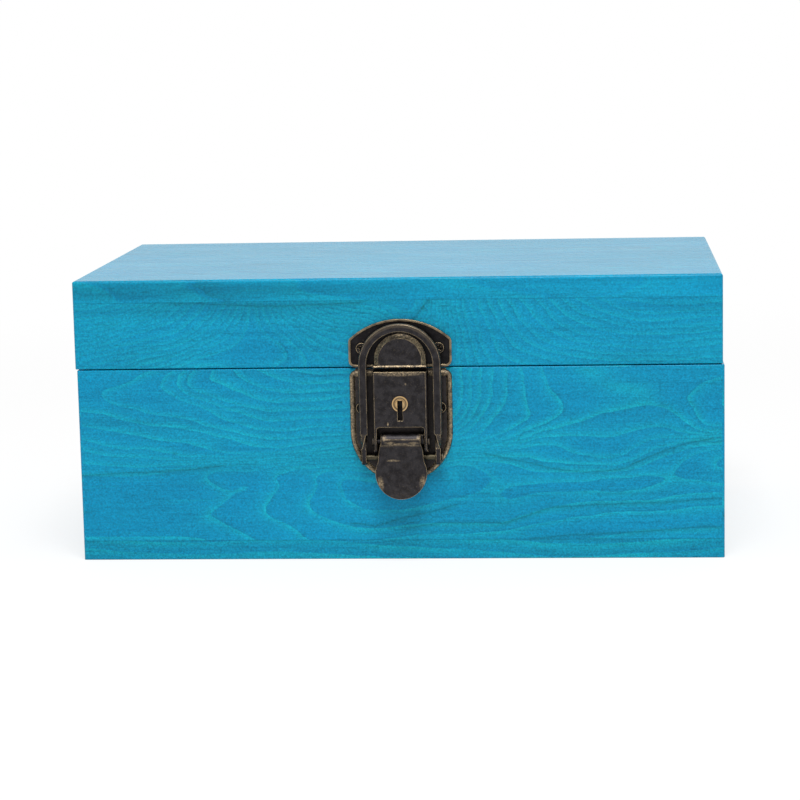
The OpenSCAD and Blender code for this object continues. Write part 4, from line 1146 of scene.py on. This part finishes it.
def set_screws(node_name, body, facing, head, metal, seed):
    """Replaces a node's screws by finished ones at the same places."""
    boxes = screw_boxes(node_name)
    outward = facing[1]
    radius = max((high - low)[[0, 2]].max() for low, high in boxes) / 2
    depth = max(high[1] - low[1] for low, high in boxes) - head
    spots = []
    for low, high in boxes:
        outer = high[1] if outward > 0 else low[1]
        middle = (low + high) / 2
        spots.append((middle[0], outer - outward * head, middle[2]))
    # from left to right, so that each screw gets the same turn in every run
    spots.sort()
    shape = screw_shape(node_name + "_one", radius * 0.995, head * 0.995, depth * 0.99)
    pattern = bpy.data.objects.new(node_name + "_one", shape)
    base = bpy.data.meshes.new(node_name + "_spots")
    base.from_pydata(spots, [], [])
    holder = bpy.data.objects.new(node_name + "_spots", base)
    for one in (pattern, holder):
        bpy.context.scene.collection.objects.link(one)
    tree = bpy.data.node_groups.get("Set screws") or screw_setter()
    nodes = holder.modifiers.new("Screws", "NODES")
    values = {"Screw": pattern, "Facing": facing, "Metal": metal, "Seed": seed}
    nodes.node_group = tree
    for item in tree.interface.items_tree:
        if item.in_out == "INPUT" and item.name in values:
            nodes[item.identifier] = values[item.name]
    bpy.context.view_layer.update()
    graph = bpy.context.evaluated_depsgraph_get()
    mesh = bpy.data.meshes.new_from_object(holder.evaluated_get(graph), depsgraph=graph)
    if len(mesh.vertices) != len(shape.vertices) * len(spots):
        raise RuntimeError(node_name + ": the screws weren't set")
    for one in (holder, pattern):
        bpy.data.objects.remove(one)
    made = bpy.data.objects.new(node_name + "_finished", mesh)
    bpy.context.scene.collection.objects.link(made)
    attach(made, body)
    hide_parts(node_name)


# ---- stage ----


def seen_rays(tree):
    """1 for the rays that see or mirror a surface, and 0 for light."""
    rays = put(tree, "ShaderNodeLightPath").outputs
    return most(*(Number(rays[name]) for name in SEEN_RAYS))


def lay_floor(size):
    """A white floor that keeps the chest's shadow near it and fades to plain white."""
    mesh = bpy.data.meshes.new("Floor")
    half = size / 2
    corners = [(-half, -half, 0.0), (half, -half, 0.0), (half, half, 0.0), (-half, half, 0.0)]
    mesh.from_pydata(corners, [], [(0, 1, 2, 3)])
    floor = bpy.data.objects.new("Floor", mesh)
    bpy.context.scene.collection.objects.link(floor)
    made = new_material("White floor")
    tree = made.node_tree
    seen = seen_rays(tree)
    place = put(tree, "ShaderNodeTexCoord").outputs["Object"]
    away = number(tree, "ShaderNodeVectorMath", {0: place}, output=1, operation="LENGTH")
    far = remap(away, FADE_FROM, FADE_TO)
    grey = blend(seen, (LIT_GREY,) * 3, (SEEN_GREY,) * 3)
    grey = blend(seen * far, grey, (0.0,) * 3)
    matt = put(tree, "ShaderNodeBsdfDiffuse", {"Color": grey}).outputs[0]
    strength = seen * remap(far, 0.0, 1.0, NEAR_GLOW, 1.0, LINEAR)
    glow = put(tree, "ShaderNodeEmission", {"Strength": strength}).outputs[0]
    both = put(tree, "ShaderNodeAddShader", {0: matt, 1: glow}).outputs[0]
    put(tree, "ShaderNodeOutputMaterial", {0: both})
    mesh.materials.append(made)


def light_world():
    """White where it is seen or mirrored, and a softer grey as light."""
    world = bpy.data.worlds.new("Studio")
    bpy.context.scene.world = world
    world.use_nodes = True
    tree = world.node_tree
    tree.nodes.clear()
    strength = remap(seen_rays(tree), 0.0, 1.0, SKY_LIGHT, 1.0, LINEAR)
    sky = put(tree, "ShaderNodeBackground", {"Color": (1.0, 1.0, 1.0, 1.0), "Strength": strength})
    put(tree, "ShaderNodeOutputWorld", {0: sky.outputs[0]})


def hang_lamp():
    """A square soft lamp in front of the chest and over it."""
    data = bpy.data.lights.new("Key light", "AREA")
    data.size = LAMP_SIZE
    data.energy = LAMP_POWER
    lamp = bpy.data.objects.new("Key light", data)
    turn = (Vector(LAMP_AIM) - Vector(LAMP_PLACE)).to_track_quat("-Z", "Y").to_matrix().to_4x4()
    lamp.matrix_world = Matrix.Translation(LAMP_PLACE) @ turn
    bpy.context.scene.collection.objects.link(lamp)


def set_camera(stage):
    """The photograph's camera, from its fitted turn, dip and roll."""
    yaw, pitch, roll = stage.yaw, stage.pitch, stage.roll
    ahead = Vector((
        math.sin(yaw) * math.cos(pitch), math.cos(yaw) * math.cos(pitch), -math.sin(pitch)
    ))
    level = Vector((math.cos(yaw), -math.sin(yaw), 0.0))
    above = level.cross(ahead)
    right = math.cos(roll) * level + math.sin(roll) * above
    up = math.cos(roll) * above - math.sin(roll) * level
    data = bpy.data.cameras.new("Camera")
    data.lens = stage.lens
    data.sensor_width = 36.0
    camera = bpy.data.objects.new("Camera", data)
    turn = Matrix((right, up, -ahead)).transposed().to_4x4()
    camera.matrix_world = Matrix.Translation(stage.eye) @ turn
    bpy.context.scene.collection.objects.link(camera)
    bpy.context.scene.camera = camera


# ---- operators ----


class CHEST_OT_stage(bpy.types.Operator):
    """Sets the floor, the light and the photograph's camera"""

    bl_idname = "chest.stage"
    bl_label = "Stage"

    def execute(self, context):
        lay_floor(context.scene.chest_stage.floor_size)
        light_world()
        hang_lamp()
        set_camera(context.scene.chest_stage)
        context.scene.view_settings.view_transform = "Standard"
        return {"FINISHED"}


class CHEST_OT_front_boards(bpy.types.Operator):
    """Finishes the two front boards, with their drawn grain figure"""

    bl_idname = "chest.front_boards"
    bl_label = "Front boards"

    def execute(self, context):
        for node_name, (body, rings, streaks, looks) in FRONT_BOARDS.items():
            figured_board(node_name, body, rings, streaks, stained_wood(**looks))
        return {"FINISHED"}


class CHEST_OT_other_boards(bpy.types.Operator):
    """Stains and varnishes the other boards of the base and the lid"""

    bl_idname = "chest.other_boards"
    bl_label = "Other boards"

    def execute(self, context):
        for node_name, looks in PLAIN_BOARDS.items():
            dress(node_name, stained_wood(**looks))
        return {"FINISHED"}


class CHEST_OT_latch(bpy.types.Operator):
    """Finishes the latch: its plates, lock, lever, bow and pins"""

    bl_idname = "chest.latch"
    bl_label = "Latch"

    def execute(self, context):
        for node_name, finish in LATCH.items():
            dress(node_name, metal_named(finish))
        dress("key_bush", bush_brass("Key bush brass"))
        return {"FINISHED"}


class CHEST_OT_hinges(bpy.types.Operator):
    """Finishes the leaves and pins of the two hinges"""

    bl_idname = "chest.hinges"
    bl_label = "Hinges"

    def execute(self, context):
        for side in ("left", "right"):
            for part, finish in HINGE.items():
                dress(f"{side}_hinge_{part}", metal_named(finish))
        return {"FINISHED"}


class CHEST_OT_screws(bpy.types.Operator):
    """Sets the cross-recess screws of the latch and the hinges"""

    bl_idname = "chest.screws"
    bl_label = "Screws"

    def execute(self, context):
        metal = metal_named("Bronze fasteners")
        for seed, (node_name, (body, facing, head)) in enumerate(SCREWS.items()):
            set_screws(node_name, body, facing, head, metal, seed)
        return {"FINISHED"}


class CHEST_PT_panel(bpy.types.Panel):
    """Lists the steps that dress the chest"""

    bl_idname = "CHEST_PT_panel"
    bl_label = "Chest"
    bl_space_type = "VIEW_3D"
    bl_region_type = "UI"
    bl_category = "Chest"

    def draw(self, context):
        for step in STEPS:
            self.layout.operator(step.bl_idname)


STEPS = (
    CHEST_OT_stage, CHEST_OT_front_boards, CHEST_OT_other_boards, CHEST_OT_latch, CHEST_OT_hinges,
    CHEST_OT_screws,
)
GROUPS = {
    "chest_wood": ChestWoodSettings,
    "chest_metal": ChestMetalSettings,
    "chest_stage": ChestStageSettings,
}


def register():
    """Registers the settings, the operators and the panel."""
    for name, group in GROUPS.items():
        bpy.utils.register_class(group)
        setattr(bpy.types.Scene, name, bpy.props.PointerProperty(type=group))
    for one in (*STEPS, CHEST_PT_panel):
        bpy.utils.register_class(one)


def unregister():
    """Takes them away again."""
    for one in (CHEST_PT_panel, *reversed(STEPS)):
        bpy.utils.unregister_class(one)
    for name, group in GROUPS.items():
        delattr(bpy.types.Scene, name)
        bpy.utils.unregister_class(group)


def main():
    """Dresses the chest step by step."""
    register()
    bpy.ops.chest.stage()
    bpy.ops.chest.front_boards()
    bpy.ops.chest.other_boards()
    bpy.ops.chest.latch()
    bpy.ops.chest.hinges()
    bpy.ops.chest.screws()


if __name__ == "__main__":
    main()
